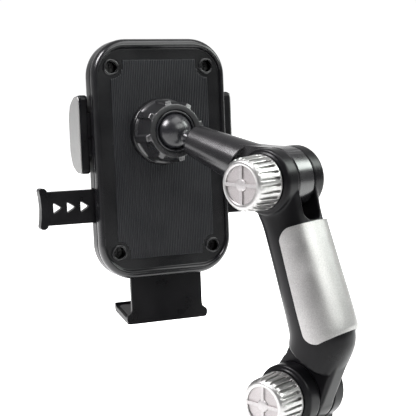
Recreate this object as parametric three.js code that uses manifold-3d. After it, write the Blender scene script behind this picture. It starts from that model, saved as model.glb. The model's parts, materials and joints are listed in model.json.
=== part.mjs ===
// Car phone mount: a squeeze-to-open phone cradle on a ball joint, carried by a two-elbow arm
// that stands on a lever-locked suction base.
// Millimetres, +Z up. The origin is the centre of the suction face and the elbow pins run along X.
// Knobs are on the -X side, and the cradle hangs on the +Y side of the arm.

import * as THREE from 'three';
import { mergeVertices } from 'three/addons/utils/BufferGeometryUtils.js';
import Module from 'manifold-3d';

const wasm = await Module();
wasm.setup();

// ---------------------------------------------------------------- driving dimensions

const GAP = 0.1; // between pieces that rest on each other
const ROUND = 24; // sides of a large round
const SMALL_ROUND = 16; // sides of a pin or a screw
const OVAL_SIDES = 24;

// Elbow joints: a tongue clamped between the two ears of a fork by a bolt and a knob.
const EAR_RADIUS = 14.1;
const EAR_OUTER = 12.4; // half the length of the whole barrel
const SLOT_HALF = 5.35; // half the space between the ears
const TONGUE_HALF = 5.15;
const SCOOP_RADIUS = 17; // clearance that each arm keeps around its fork's ears
const SLOT_DEPTH = 20.5; // from the joint's centre to the bottom of the fork's slot
const BOLT_RADIUS = 3;
const BOLT_HOLE = 3.1;
const HEX_RADIUS = 5.7;
const SEAT_RADIUS = 12.3;
const SEAT_FACE = EAR_OUTER + 0.6;

// Where the joints are.
const LOWER_JOINT_HEIGHT = 56;
const ARM_LEAN = -19.2; // degrees from vertical, in the YZ plane
const ARM_DROP = 89.8; // from the upper joint to the lower one along the arm
const ARM_OFFSET = 20; // the lower joint's step to the side of the arm's centre line
const TUBE_PITCH = 16.2; // degrees above the horizontal
const TUBE_REACH = 66.95; // from the upper joint to the ball
const CRADLE_YAW = -24.6;
const CRADLE_TILT = -3.75;

// Knob: a fluted cap with a four-spoke face.
const KNOB_REAR = SEAT_FACE + 0.7;
const KNOB_FACE = KNOB_REAR + 13;
const KNOB_RADIUS = 11.6;
const KNOB_FLUTES = 30;

// Upper arm: an oval bar whose lower end steps aside to the lower joint.
const CHIN_AWAY = 19.3; // from the lower joint to the flat end of the arm's body
const CHIN_TURN = -40; // the direction of that end, in degrees from +y
const PLATE_TOP = 21.3; // distances along the arm from the upper joint
const PLATE_BOTTOM = 70.7;
const PLATE_RISE = 1.4; // from the arm's surface to the sheet's outer and inner faces
const PLATE_CLEAR = 0.3;
const PLATE_ARCH = 1.8; // rise of the sheet's lower edge at its middle

// Tube arm and ball.
const BALL_RADIUS = 8.5;
const NECK_RADIUS = 2.4;
const TUBE_END = TUBE_REACH - 14.6;
const TUBE_END_RADIUS = 7.55;
const TUBE_ROOT_RADIUS = 11;
const TUBE_ROOT = 10;

// Ball socket and collar nut, measured from the ball's centre along the cradle's normal.
const PANEL = 16; // from the ball's centre to the rear panel
const SEAT_INNER = 8.75;
const SEAT_OUTER = 10.2;
const POCKET_RADIUS = 10.5;
const SOCKET_RADIUS = 11;
const NUT_FRONT = -3.2;
const NUT_BACK = PANEL - 3.8;
const NUT_LUGS = 8;
const NUT_LUG_TURN = 32.5; // degrees

// Cradle body, in its own frame: x across, y towards the phone from the rear panel, z up.
const BODY_CENTRE_Z = -13; // the body's centre below the ball
const BODY_HALF_X = 33.8;
const BODY_HALF_Z = 57.5;
const BODY_CORNER = 17.5;
const REAR_RIM = -2;
const SPLIT = 3.2; // rear cover ends and the front cover starts just after it
const FRONT_FACE = 12.4;
const WALL = 2.2;
const INNER_FRONT = FRONT_FACE - WALL;
const SCREW_X = 24.25;
const SCREW_Z = 44.2;
const PAD_FRONT = 13.5;

// Jaws, levers and rack: two crossed sliders in two layers, joined by a pinion.
const LAYER_A = [5.1, 7.0];
const LAYER_B = [7.4, 9.3];
const PINION_Z = 2;
const PINION_TEETH = 15;
const PINION_PITCH_RADIUS = 6;
const TOOTH_PITCH = (2 * Math.PI * PINION_PITCH_RADIUS) / PINION_TEETH;
const JAW_INNER = 34.9;
const JAW_THICKNESS = 3.9;
const JAW_BOTTOM = -5.9;
const JAW_TOP = 31.7;
const JAW_FRONT = 24.5;
const LEVER_Z = -21.2;
const LEVER_HALF = 8;
const LEVER_TIP = 60.5;

// Foot: a sliding plate with a ledge for the phone's lower edge.
const FOOT_BACK = 2.6;
const FOOT_FRONT = 4.7;
const FOOT_HALF_X = 18.3;
const FOOT_TOP = -34;
const FOOT_BOTTOM = -80;
const LEDGE_FRONT = 23.6;
const LEDGE_HALF_X = 20.6;

// Suction base.
const PAD_RADIUS = 41;
const PAD_TOP = 3.2;
const HOUSING_RADIUS = 40.2;
const HOUSING_TOP = 23.6;
const TURRET_BOTTOM = 25;
const TURRET_RADIUS = 17.5;
const LEVER_PIVOT = [-27, 13]; // y, z
const LEVER_PIN_RADIUS = 1.6;

const FINISH = {
  black: { color: 0x1b1b1d, roughness: 0.42, metalness: 0 },
  gloss: { color: 0x161618, roughness: 0.18, metalness: 0 },
  rubber: { color: 0x3a3a3c, roughness: 0.9, metalness: 0 },
  pad: { color: 0x252527, roughness: 0.8, metalness: 0 },
  silver: { color: 0xc4c5c7, roughness: 0.3, metalness: 1 },
  steel: { color: 0x8f9296, roughness: 0.35, metalness: 1 },
  brass: { color: 0xb08d4a, roughness: 0.4, metalness: 1 },
  nylon: { color: 0xd8d6cf, roughness: 0.6, metalness: 0 },
};

// ---------------------------------------------------------------- solids from three.js shapes

const PERMUTE = {
  // a shape drawn in XY and raised along Z, turned so that it is raised along X, Y or Z
  x: new THREE.Matrix4().makeBasis(
    new THREE.Vector3(0, 1, 0), new THREE.Vector3(0, 0, 1), new THREE.Vector3(1, 0, 0)),
  y: new THREE.Matrix4().makeBasis(
    new THREE.Vector3(0, 0, 1), new THREE.Vector3(1, 0, 0), new THREE.Vector3(0, 1, 0)),
  z: new THREE.Matrix4(),
};

// Makes a manifold solid of a closed geometry, with its faces pointing out.
function solidOf(geometry) {
  const bare = geometry.clone();
  bare.deleteAttribute('normal');
  bare.deleteAttribute('uv');
  const merged = mergeVertices(bare, 1e-4);
  const points = merged.attributes.position.array;
  const index = merged.index.array;
  const triangles = [];
  let volume = 0;
  const corner = [new THREE.Vector3(), new THREE.Vector3(), new THREE.Vector3()];
  for (let i = 0; i < index.length; i += 3) {
    const [a, b, c] = [index[i], index[i + 1], index[i + 2]];
    if (a === b || b === c || a === c) continue;
    triangles.push(a, b, c);
    [a, b, c].forEach((v, k) => corner[k].fromArray(points, v * 3));
    volume += corner[0].dot(corner[1].cross(corner[2]));
  }
  if (volume < 0) triangles.reverse();
  return new wasm.Manifold(new wasm.Mesh({
    numProp: 3,
    vertProperties: new Float32Array(points),
    triVerts: new Uint32Array(triangles),
  }));
}

// Extrudes an outline along an axis from one place to another. Outlines are [y, z] along x,
// [x, z] along y and [x, y] along z. A bevel chamfers both ends inside the outline.
function extruded(axis, outline, from, to, { bevel = 0, holes = [] } = {}) {
  const place = ([a, b]) => (axis === 'y' ? new THREE.Vector2(b, a) : new THREE.Vector2(a, b));
  const shape = new THREE.Shape(outline.map(place));
  shape.holes = holes.map((hole) => new THREE.Path(hole.map(place)));
  const geometry = new THREE.ExtrudeGeometry(shape, {
    depth: to - from - 2 * bevel,
    bevelEnabled: bevel > 0,
    bevelThickness: bevel,
    bevelSize: bevel,
    bevelOffset: -bevel,
    bevelSegments: 1,
    curveSegments: 1,
  });
  geometry.translate(0, 0, from + bevel);
  geometry.applyMatrix4(PERMUTE[axis]);
  return solidOf(geometry);
}

function box(x, y, z) {
  const geometry = new THREE.BoxGeometry(x[1] - x[0], y[1] - y[0], z[1] - z[0]);
  geometry.translate((x[0] + x[1]) / 2, (y[0] + y[1]) / 2, (z[0] + z[1]) / 2);
  return solidOf(geometry);
}

function circle(radius, centre = [0, 0], sides = ROUND) {
  return Array.from({ length: sides }, (_, i) => {
    const turn = (2 * Math.PI * (i + 0.5)) / sides;
    return [centre[0] + radius * Math.cos(turn), centre[1] + radius * Math.sin(turn)];
  });
}

function rod(axis, radius, from, to, centre = [0, 0], sides = ROUND) {
  return extruded(axis, circle(radius, centre, sides), from, to);
}

// Turns a profile of [radius, place along the axis] about the axis, then moves it.
function turned(axis, profile, sides = ROUND, at = [0, 0, 0]) {
  const geometry = new THREE.LatheGeometry(profile.map(([r, h]) => new THREE.Vector2(r, h)), sides);
  if (axis === 'x') geometry.applyMatrix4(PERMUTE.y);
  if (axis === 'z') geometry.rotateX(Math.PI / 2);
  geometry.translate(...at);
  return solidOf(geometry);
}

function ball(radius, at) {
  const geometry = new THREE.SphereGeometry(radius, ROUND, ROUND / 2);
  geometry.translate(...at);
  return solidOf(geometry);
}

function roundedRectangle(halfA, halfB, radius, steps = 4) {
  const outline = [];
  for (const [signA, signB, start] of [[1, 1, 0], [-1, 1, 90], [-1, -1, 180], [1, -1, 270]]) {
    for (let i = 0; i <= steps; i += 1) {
      const turn = THREE.MathUtils.degToRad(start + (90 * i) / steps);
      outline.push([
        signA * (halfA - radius) + radius * Math.cos(turn),
        signB * (halfB - radius) + radius * Math.sin(turn),
      ]);
    }
  }
  return outline;
}

function mirrored(outline, direction) {
  return outline.map(([a, b]) => [direction * a, b]);
}

// ---------------------------------------------------------------- scene graph

const mount = new THREE.Group();

function group(parent, position, rotation = [0, 0, 0]) {
  const child = new THREE.Group();
  child.position.set(...position);
  child.rotation.set(...rotation.map(THREE.MathUtils.degToRad), 'ZXY');
  parent.add(child);
  return child;
}

function part(parent, name, solid, finish) {
  const { vertProperties, triVerts } = solid.getMesh();
  const geometry = new THREE.BufferGeometry();
  geometry.setAttribute('position', new THREE.BufferAttribute(vertProperties, 3));
  geometry.setIndex(new THREE.BufferAttribute(triVerts, 1));
  geometry.computeVertexNormals();
  const mesh = new THREE.Mesh(geometry, new THREE.MeshStandardMaterial(FINISH[finish]));
  mesh.name = name;
  parent.add(mesh);
}

const lean = THREE.MathUtils.degToRad(ARM_LEAN);
const pitch = THREE.MathUtils.degToRad(TUBE_PITCH);
const lowerJoint = [0, 0, LOWER_JOINT_HEIGHT];
const upperJoint = [
  0,
  -(ARM_OFFSET * Math.cos(lean) + ARM_DROP * Math.sin(lean)),
  LOWER_JOINT_HEIGHT - ARM_OFFSET * Math.sin(lean) + ARM_DROP * Math.cos(lean),
];
const ballCentre = [
  0,
  upperJoint[1] + TUBE_REACH * Math.cos(pitch),
  upperJoint[2] + TUBE_REACH * Math.sin(pitch),
];

// ---------------------------------------------------------------- elbows

// Cuts shared by both forks: the slot with its rounded bottom, the bolt's hole and the head's hexagon.
function cutFork(solid) {
  const corner = 3;
  const slot = [
    [SLOT_HALF, EAR_RADIUS + 2], [-SLOT_HALF, EAR_RADIUS + 2], [-SLOT_HALF, corner - SLOT_DEPTH],
    [-SLOT_HALF + 1, 1 - SLOT_DEPTH], [-SLOT_HALF + corner, -SLOT_DEPTH],
    [SLOT_HALF - corner, -SLOT_DEPTH], [SLOT_HALF - 1, 1 - SLOT_DEPTH], [SLOT_HALF, corner - SLOT_DEPTH],
  ];
  const reach = 25;
  return solid
    .subtract(extruded('y', slot, -reach, reach))
    .subtract(rod('x', BOLT_HOLE, -reach, reach, [0, 0], SMALL_ROUND))
    .subtract(rod('x', HEX_RADIUS + GAP, EAR_OUTER - 3.6, reach, [0, 0], 6));
}

// The two ears' barrel, with the knob's stepped seat on the -X side.
function forkBarrel() {
  const edge = 0.8;
  const profile = [
    [0, -SEAT_FACE], [SEAT_RADIUS - 0.3, -SEAT_FACE], [SEAT_RADIUS, 0.3 - SEAT_FACE],
    [SEAT_RADIUS, -EAR_OUTER], [EAR_RADIUS - edge, -EAR_OUTER], [EAR_RADIUS, edge - EAR_OUTER],
    [EAR_RADIUS, EAR_OUTER - edge], [EAR_RADIUS - edge, EAR_OUTER], [0, EAR_OUTER],
  ];
  return turned('x', profile);
}

// Cuts shared by both tongues: the bolt's hole and a shallow pocket for each friction washer.
const WASHER_RADIUS = 10;
const WASHER_POCKET = TONGUE_HALF - 0.6;

function cutTongue(solid, centre = [0, 0]) {
  const reach = 25;
  return solid
    .subtract(rod('x', BOLT_HOLE, -reach, reach, centre, SMALL_ROUND))
    .subtract(rod('x', WASHER_RADIUS + 0.3, WASHER_POCKET, TONGUE_HALF + 1, centre))
    .subtract(rod('x', WASHER_RADIUS + 0.3, -TONGUE_HALF - 1, -WASHER_POCKET, centre));
}

// Clearance round a fork's two ears, cut out of the arm on both sides of its tongue.
function scoops(centre = [0, 0]) {
  const reach = 25;
  return rod('x', SCOOP_RADIUS, TONGUE_HALF, reach, centre)
    .add(rod('x', SCOOP_RADIUS, -reach, -TONGUE_HALF, centre));
}

function washer(outer, inner, from, to, sides = ROUND) {
  const holes = [circle(inner, [0, 0], SMALL_ROUND)];
  return extruded('x', circle(outer, [0, 0], sides), from, to, { holes });
}

function knobSolid() {
  const body = [];
  for (let i = 0; i < KNOB_FLUTES; i += 1) {
    const turn = (2 * Math.PI * i) / KNOB_FLUTES;
    const half = Math.PI / KNOB_FLUTES;
    for (const [radius, shift] of [[KNOB_RADIUS, 0], [KNOB_RADIUS - 0.8, 1]]) {
      body.push([radius * Math.cos(turn + shift * half), radius * Math.sin(turn + shift * half)]);
    }
  }
  const rimDepth = 1.6;
  const bevel = 2.1;
  const faceRadius = 9.2;
  const recess = 0.6;
  const recessRadius = 8;
  const hubRadius = 2.7;
  const spokeHalf = 0.85;
  const bore = 5.1;
  const boreDepth = 9.2;
  const limit = turned('x', [
    [0, -KNOB_REAR], [KNOB_RADIUS - 0.1, -KNOB_REAR], [KNOB_RADIUS + 0.25, -KNOB_REAR - 0.4],
    [KNOB_RADIUS + 0.25, -KNOB_REAR - rimDepth], [KNOB_RADIUS - 0.7, bevel - KNOB_FACE],
    [faceRadius, -KNOB_FACE], [0, -KNOB_FACE],
  ]);
  const rim = rod('x', KNOB_RADIUS + 0.2, -KNOB_REAR - rimDepth, -KNOB_REAR);
  const floor = recess - KNOB_FACE;
  const spokes = box([-KNOB_FACE, floor], [-recessRadius, recessRadius], [-spokeHalf, spokeHalf])
    .add(box([-KNOB_FACE, floor], [-spokeHalf, spokeHalf], [-recessRadius, recessRadius]))
    .add(rod('x', hubRadius, -KNOB_FACE, floor, [0, 0], SMALL_ROUND));
  return extruded('x', body, -KNOB_FACE, -KNOB_REAR)
    .add(rim)
    .intersect(limit)
    .subtract(rod('x', recessRadius, -KNOB_FACE - 1, floor))
    .add(spokes.intersect(rod('x', recessRadius + 0.1, -KNOB_FACE, floor + 0.1)))
    .subtract(rod('x', bore, -KNOB_REAR - boreDepth, 0, [0, 0], SMALL_ROUND));
}

// Bolt, knob, threaded insert and washers of one elbow. The bolt's head sits in the fork, so it
// takes the fork's own frame.
function addClamp(parent, fork, prefix) {
  const headDepth = 3.2;
  const boltEnd = -KNOB_REAR - 8.6;
  const bolt = rod('x', BOLT_RADIUS, boltEnd, EAR_OUTER - headDepth + 0.1, [0, 0], SMALL_ROUND)
    .add(rod('x', HEX_RADIUS, EAR_OUTER - headDepth, EAR_OUTER - 0.2, [0, 0], 6));
  const insert = washer(5, BOLT_HOLE, -KNOB_REAR - 8.4, -KNOB_REAR - 0.4, 6);
  part(fork, `${prefix}_bolt`, bolt, 'steel');
  part(parent, `${prefix}_knob`, knobSolid(), 'silver');
  part(parent, `${prefix}_knob_insert`, insert, 'brass');
  const knobWasher = washer(9.5, BOLT_HOLE, GAP - KNOB_REAR, -SEAT_FACE - GAP);
  part(parent, `${prefix}_knob_washer`, knobWasher, 'steel');
  const inner = WASHER_POCKET + 0.05;
  const outer = SLOT_HALF - 0.05;
  const nearWasher = washer(WASHER_RADIUS, BOLT_HOLE, -outer, -inner);
  const farWasher = washer(WASHER_RADIUS, BOLT_HOLE, inner, outer);
  part(parent, `${prefix}_friction_washer_near`, nearWasher, 'nylon');
  part(parent, `${prefix}_friction_washer_far`, farWasher, 'nylon');
}

// ---------------------------------------------------------------- suction base

function addBase(parent) {
  const padProfile = [
    [0, 0], [PAD_RADIUS, 0], [PAD_RADIUS, 1.2], [PAD_RADIUS - 1.2, PAD_TOP - 0.1],
    [PAD_RADIUS - 5, PAD_TOP], [0, PAD_TOP],
  ];
  const tab = extruded('z', [[-8, 38], [8, 38], [7, 48], [4, 50], [-4, 50], [-7, 48]], 0.4, 1.8);
  part(parent, 'suction_pad', turned('z', padProfile, 36).add(tab), 'rubber');
  part(parent, 'pad_stem', padStem(), 'black');
  part(parent, 'base_housing', baseHousing(), 'black');
  part(parent, 'lock_lever', lockLever(), 'black');
  part(parent, 'lever_pin', rod('x', LEVER_PIN_RADIUS, -7.4, 7.4, LEVER_PIVOT, SMALL_ROUND), 'steel');
}

// The rigid hub moulded into the pad: a post, and a bar out to the clevis that holds the lever's pin.
function padStem() {
  const [pivotY, pivotZ] = LEVER_PIVOT;
  const ear = (side) => box(
    side < 0 ? [-7.5, -5] : [5, 7.5], [pivotY - 4, -18.8], [8.2, pivotZ + 3.2]);
  const profile = [[0, PAD_TOP + 0.3], [9, PAD_TOP + 0.3], [9, 5.6], [4.6, 7], [4.6, 13.5], [0, 13.5]];
  return turned('z', profile)
    .add(box([-4.2, 4.2], [-20, 3], [8.2, 12]))
    .add(box([-7.5, 7.5], [-21.3, -18.8], [8.2, 12]))
    .add(ear(1))
    .add(ear(-1))
    .subtract(rod('x', LEVER_PIN_RADIUS + 0.06, -10, 10, LEVER_PIVOT, SMALL_ROUND));
}

function baseHousing() {
  const rim = PAD_TOP + 0.2;
  const profile = [
    [0, 17.4], [17, 17], [28, 14.2], [37.2, 8.4], [37.2, rim], [HOUSING_RADIUS, rim],
    [HOUSING_RADIUS, 8.4], [38.4, 12], [33, 15.6], [27, 18.6], [20.5, 21], [18.2, HOUSING_TOP],
    [0, HOUSING_TOP],
  ];
  return turned('z', profile, 36)
    .subtract(box([-8.7, 8.7], [-50, -17], [6.6, 40]))
    .subtract(rod('z', 2.6, 10, 30, [0, 0], SMALL_ROUND));
}

// Rocking cam lever: its hub turns on the pin and its handle lies flat outside when locked.
function lockLever() {
  const [pivotY, pivotZ] = LEVER_PIVOT;
  const neck = [
    [pivotY + 1, pivotZ + 5.1], [-34, 16.6], [-34, 11], [pivotY - 3, pivotZ - 3.8],
  ];
  const handle = [
    [-33, 16.6], [-39, 15.2], [-44, 12.4], [-49, 10.6], [-55, 9.9], [-58.6, 11.4], [-59.2, 10.2],
    [-56.6, 7.4], [-52, 6.6], [-46.5, 7], [-42.5, 9], [-38, 11], [-33, 11.4],
  ];
  return rod('x', 5.2, -4.7, 4.7, LEVER_PIVOT)
    .add(extruded('x', neck, -4.7, 4.7))
    .add(extruded('x', handle, -8.2, 8.2, { bevel: 0.7 }))
    .subtract(rod('x', LEVER_PIN_RADIUS + 0.06, -10, 10, LEVER_PIVOT, SMALL_ROUND));
}

// The lower fork, which swivels on the housing round a screw at the bottom of its slot.
function addTurret(parent) {
  const foot = TURRET_BOTTOM - LOWER_JOINT_HEIGHT;
  const neckSide = [[12.5, foot + 7], [9.5, foot + 12], [8.2, foot + 17], [9.3, 0]];
  const neck = [...neckSide, ...mirrored(neckSide, -1).reverse()];
  const flange = [
    [0, foot], [TURRET_RADIUS - 0.8, foot], [TURRET_RADIUS, foot + 0.8], [TURRET_RADIUS, foot + 4],
    [TURRET_RADIUS - 1.6, foot + 6], [13.4, foot + 9.4], [0, foot + 9.4],
  ];
  const headTop = -SLOT_DEPTH - 0.3;
  const headBottom = headTop - 3;
  const fork = forkBarrel()
    .add(extruded('x', neck, -EAR_OUTER, EAR_OUTER, { bevel: 0.8 }))
    .add(turned('z', flange));
  const turret = cutFork(fork)
    .subtract(rod('z', 5.3, headBottom - GAP, 0, [0, 0], SMALL_ROUND))
    .subtract(rod('z', 2.6, foot - 1, 0, [0, 0], SMALL_ROUND));
  part(parent, 'base_turret', turret, 'black');
  const screw = rod('z', 5.2, headBottom, headTop, [0, 0], SMALL_ROUND)
    .add(rod('z', 2.5, foot - 6.4, headBottom + 0.1, [0, 0], SMALL_ROUND))
    .subtract(rod('z', 1.7, headTop - 1.8, headTop + 1, [0, 0], 6));
  part(parent, 'swivel_screw', screw, 'steel');
  const ring = extruded('z', circle(14), HOUSING_TOP + GAP - LOWER_JOINT_HEIGHT, foot - GAP,
    { holes: [circle(2.7, [0, 0], SMALL_ROUND)] });
  part(parent, 'swivel_washer', ring, 'nylon');
}

// ---------------------------------------------------------------- upper arm

// The oval bar, tapered and bent aside. Each row gives the place along the arm, half the width
// across, the outer and inner edges, and the oval's power.
const ARM_ROWS = [
  [-5, 11.6, -12.6, 12.6, 3.4], [-11, 11.2, -12.3, 12.5, 3.2], [-17, 11, -12, 12, 2.9],
  [-24, 11.2, -12.3, 12.3, 2.6], [-40, 11.9, -13.1, 13, 2.3], [-56, 12.5, -13.8, 13.6, 2.2],
  [-60, 12.5, -13.9, 13.75, 2.2], [-65, 12.5, -14, 14.4, 2.2], [-69, 12.5, -13.9, 16.8, 2.2],
  [-72.5, 12.5, -13.2, 20, 2.2], [-76, 12.5, -11.6, 24, 2.2], [-80, 12.5, -8.1, 26, 2.2],
  [-84, 12.5, -3.8, 27, 2.2], [-88, 12.5, 1.2, 28, 2.2], [-92, 12.5, 5.4, 28, 2.2],
];

// The row at any place along the arm, between two given ones.
function armRow(z) {
  const next = ARM_ROWS.findIndex((row) => row[0] <= z);
  const [above, below] = [ARM_ROWS[next - 1], ARM_ROWS[next]];
  const share = (above[0] - z) / (above[0] - below[0]);
  return above.map((value, i) => value + (below[i] - value) * share);
}

// Skins ovals of such rows, from the last row up to the first.
function ovalBar(rows) {
  const geometry = new THREE.ExtrudeGeometry(
    new THREE.Shape(circle(1, [0, 0], OVAL_SIDES).map(([a, b]) => new THREE.Vector2(a, b))),
    { depth: 1, steps: rows.length - 1, bevelEnabled: false, curveSegments: 1 });
  const points = geometry.attributes.position;
  for (let i = 0; i < points.count; i += 1) {
    const [z, halfX, outer, inner, power] = rows[Math.round((1 - points.getZ(i)) * (rows.length - 1))];
    const [a, b] = [points.getX(i), points.getY(i)];
    const halfY = (inner - outer) / 2;
    points.setX(i, halfX * Math.sign(a) * Math.abs(a) ** (2 / power));
    points.setY(i, (inner + outer) / 2 + halfY * Math.sign(b) * Math.abs(b) ** (2 / power));
    points.setZ(i, z);
  }
  return solidOf(geometry);
}

// Flat cuts that end the arm's body on both sides of its lower tongue.
function chins(centre) {
  const turn = THREE.MathUtils.degToRad(CHIN_TURN);
  const down = [Math.cos(turn), Math.sin(turn)];
  const width = 60;
  const corner = (across, along) => [
    centre[0] + down[0] * along - down[1] * across, centre[1] + down[1] * along + down[0] * across,
  ];
  const outline = [
    corner(-width, -CHIN_AWAY), corner(width, -CHIN_AWAY), corner(width, width), corner(-width, width),
  ];
  const reach = 25;
  return extruded('x', outline, TONGUE_HALF, reach).add(extruded('x', outline, -reach, -TONGUE_HALF));
}

// In the arm's frame the upper joint is the origin and the arm runs down -Z; y is across it.
function addUpperArm(parent) {
  const lower = [ARM_OFFSET, -ARM_DROP];
  const tongue = [
    [-8.6, -76], [-5.6, -82], [9.85, -99.5], lower, [29.5, -79.3], [21, -73], [0, -66],
  ];
  const lowerEnd = rod('x', EAR_RADIUS, -TONGUE_HALF, TONGUE_HALF, lower)
    .add(extruded('x', tongue, -TONGUE_HALF, TONGUE_HALF, { bevel: 1.2 }));
  const fork = cutFork(ovalBar(ARM_ROWS).subtract(chins(lower)).add(forkBarrel()));
  part(parent, 'upper_arm', cutTongue(fork.add(lowerEnd), lower), 'black');
  part(parent, 'arm_plate', armPlate(), 'silver');
}

// The sheet follows the outer half of the arm's ovals.
function armPlate() {
  const places = [-PLATE_TOP, -24, -40, -56, -65, -PLATE_BOTTOM];
  const grown = (rise) => ovalBar(places.map(armRow).map(([z, halfX, outer, , power]) => (
    [z, halfX + rise, outer - rise, rise - outer, power])));
  const middle = (PLATE_BOTTOM + PLATE_TOP) / 2;
  const halfWidth = 17; // the sheet ends at the middle of the arm
  const window = roundedRectangle(halfWidth, middle - PLATE_TOP, 4.5)
    .map(([y, z]) => [y - halfWidth, z - middle]);
  const arch = [[-16, -80]];
  for (let x = -12; x <= 12; x += 4) arch.push([x, -PLATE_BOTTOM + PLATE_ARCH * (1 - (x / 12) ** 2)]);
  arch.push([16, -80]);
  return grown(PLATE_RISE)
    .subtract(grown(PLATE_CLEAR))
    .intersect(extruded('x', window, -20, 20))
    .subtract(extruded('y', arch, -20, 1));
}

// ---------------------------------------------------------------- tube arm and ball

// In the tube's frame the upper joint is the origin and +Y points at the ball.
function addTubeArm(parent) {
  const cone = turned('y', [
    [0, TUBE_ROOT], [TUBE_ROOT_RADIUS, TUBE_ROOT], [TUBE_END_RADIUS, TUBE_END - 0.9],
    [TUBE_END_RADIUS - 0.3, TUBE_END - 0.25], [TUBE_END_RADIUS - 0.9, TUBE_END], [0, TUBE_END],
  ]);
  const merge = 27;
  const mergeRadius = TUBE_ROOT_RADIUS
    - ((TUBE_ROOT_RADIUS - TUBE_END_RADIUS) * (merge - TUBE_ROOT)) / (TUBE_END - TUBE_ROOT);
  const web = [
    [0, EAR_RADIUS], [5, 13.2], [SCOOP_RADIUS, TUBE_ROOT_RADIUS - 0.7], [merge, mergeRadius - 0.4],
    [merge, 0.4 - mergeRadius], [SCOOP_RADIUS, 0.7 - TUBE_ROOT_RADIUS], [5, -13.2], [0, -EAR_RADIUS],
  ];
  const tongue = rod('x', EAR_RADIUS, -TONGUE_HALF, TONGUE_HALF)
    .add(extruded('x', web, -TONGUE_HALF, TONGUE_HALF));
  const shankEnd = TUBE_END - 9;
  const arm = cutTongue(cone.subtract(scoops()).add(tongue))
    .subtract(rod('y', NECK_RADIUS + 0.06, shankEnd - 0.3, TUBE_END + 1, [0, 0], SMALL_ROUND));
  part(parent, 'tube_arm', arm, 'black');
  const stud = ball(BALL_RADIUS, [0, TUBE_REACH, 0])
    .add(rod('y', NECK_RADIUS, shankEnd, TUBE_REACH - 5, [0, 0], SMALL_ROUND));
  part(parent, 'ball_stud', stud, 'gloss');
}

// ---------------------------------------------------------------- ball joint on the cradle

// A ring of a sphere's shell, as a profile between two angles from the +Y axis.
function sphereBand(inner, outer, fromDegrees, toDegrees, steps = 4) {
  const profile = [];
  for (let i = 0; i <= steps; i += 1) {
    const turn = THREE.MathUtils.degToRad(fromDegrees + ((toDegrees - fromDegrees) * i) / steps);
    profile.push([outer * Math.sin(turn), outer * Math.cos(turn)]);
  }
  for (let i = steps; i >= 0; i -= 1) {
    const turn = THREE.MathUtils.degToRad(fromDegrees + ((toDegrees - fromDegrees) * i) / steps);
    profile.push([inner * Math.sin(turn), inner * Math.cos(turn)]);
  }
  profile.push([...profile[0]]);
  return profile;
}

// The cup under the ball, the ring round its equator, and the nut that clamps them.
function addBallJoint(parent) {
  part(parent, 'ball_seat', turned('y', sphereBand(SEAT_INNER, SEAT_OUTER, 8, 46)), 'nylon');
  const liner = [
    [SEAT_INNER, 0.2], [10.7, 0.2], [10.7, -1.4], [9.2, -2.9], [8.6, -3], [8.1, -3.3],
    [SEAT_INNER - 0.1, -1.4], [SEAT_INNER, 0.2],
  ];
  part(parent, 'ball_liner', turned('y', liner), 'gloss');
  const bore = SOCKET_RADIUS + 0.25;
  const lip = 9.9;
  const outer = [
    [bore, NUT_BACK], [15.2, NUT_BACK], [15.5, NUT_BACK - 0.6], [15.5, 11], [14.75, 9.8], [14, 7.4],
    [13.3, 2], [12.9, -1.6], [12.6, -2.8], [12.2, NUT_FRONT], [10.1, NUT_FRONT], [lip, -2.8],
    [11.1, -1.2], [bore, 0.3], [bore, NUT_BACK],
  ];
  let nut = turned('y', outer);
  for (let i = 0; i < NUT_LUGS; i += 1) {
    const lug = new THREE.BoxGeometry(3.2, 13, 2.6);
    lug.translate(13.9, 4.8, 0);
    lug.rotateY(THREE.MathUtils.degToRad(NUT_LUG_TURN) + (2 * Math.PI * i) / NUT_LUGS);
    nut = nut.add(solidOf(lug));
  }
  nut = nut.subtract(turned('y', [
    [0, 14], [bore, 14], [bore, 0.3], [11.1, -1.2], [lip, -2.8], [lip, -6], [0, -6],
  ]));
  part(parent, 'collar_nut', nut, 'black');
}

// ---------------------------------------------------------------- cradle covers

const screwPlaces = [[-1, 1], [1, 1], [-1, -1], [1, -1]].map(([a, b]) => [a * SCREW_X, b * SCREW_Z]);
const bodyOutline = roundedRectangle(BODY_HALF_X, BODY_HALF_Z, BODY_CORNER);
const innerOutline = roundedRectangle(BODY_HALF_X - WALL, BODY_HALF_Z - WALL, BODY_CORNER - WALL);
const SOCKET_Z = -BODY_CENTRE_Z;

function rearCover() {
  const recess = roundedRectangle(30.9, 52.9, 14);
  let cover = extruded('y', bodyOutline, REAR_RIM, SPLIT, { bevel: 1 })
    .subtract(extruded('y', recess, REAR_RIM - 1, 0))
    .subtract(extruded('y', innerOutline, WALL, SPLIT + 1));
  const flare = [[0, 0.5], [16.3, 0.5], [16.3, -1], [15.2, -3.3], [0, -3.3]];
  const socket = [[0, 0.5], [SOCKET_RADIUS, 0.5], [SOCKET_RADIUS, 0.5 - PANEL], [0, 0.5 - PANEL]];
  cover = cover
    .add(turned('y', flare, ROUND, [0, 0, SOCKET_Z]))
    .add(turned('y', socket, ROUND, [0, 0, SOCKET_Z]))
    .subtract(ball(POCKET_RADIUS, [0, -PANEL, SOCKET_Z]));
  const slit = 0.9;
  const slitBottom = -7;
  cover = cover
    .subtract(box([-slit, slit], [-PANEL, slitBottom], [SOCKET_Z - 12, SOCKET_Z + 12]))
    .subtract(box([-12, 12], [-PANEL, slitBottom], [SOCKET_Z - slit, SOCKET_Z + slit]));
  for (const place of screwPlaces) {
    cover = cover
      .add(rod('y', 4.3, WALL - 0.2, 6.2, place, 12))
      .subtract(rod('y', 2.8, -3, 5.2, place, 12))
      .subtract(rod('y', 1.3, 4, 7, place, 8));
  }
  return cover.subtract(box([-18.8, 18.8], [WALL, SPLIT + 1], [-60, -50]));
}

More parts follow.
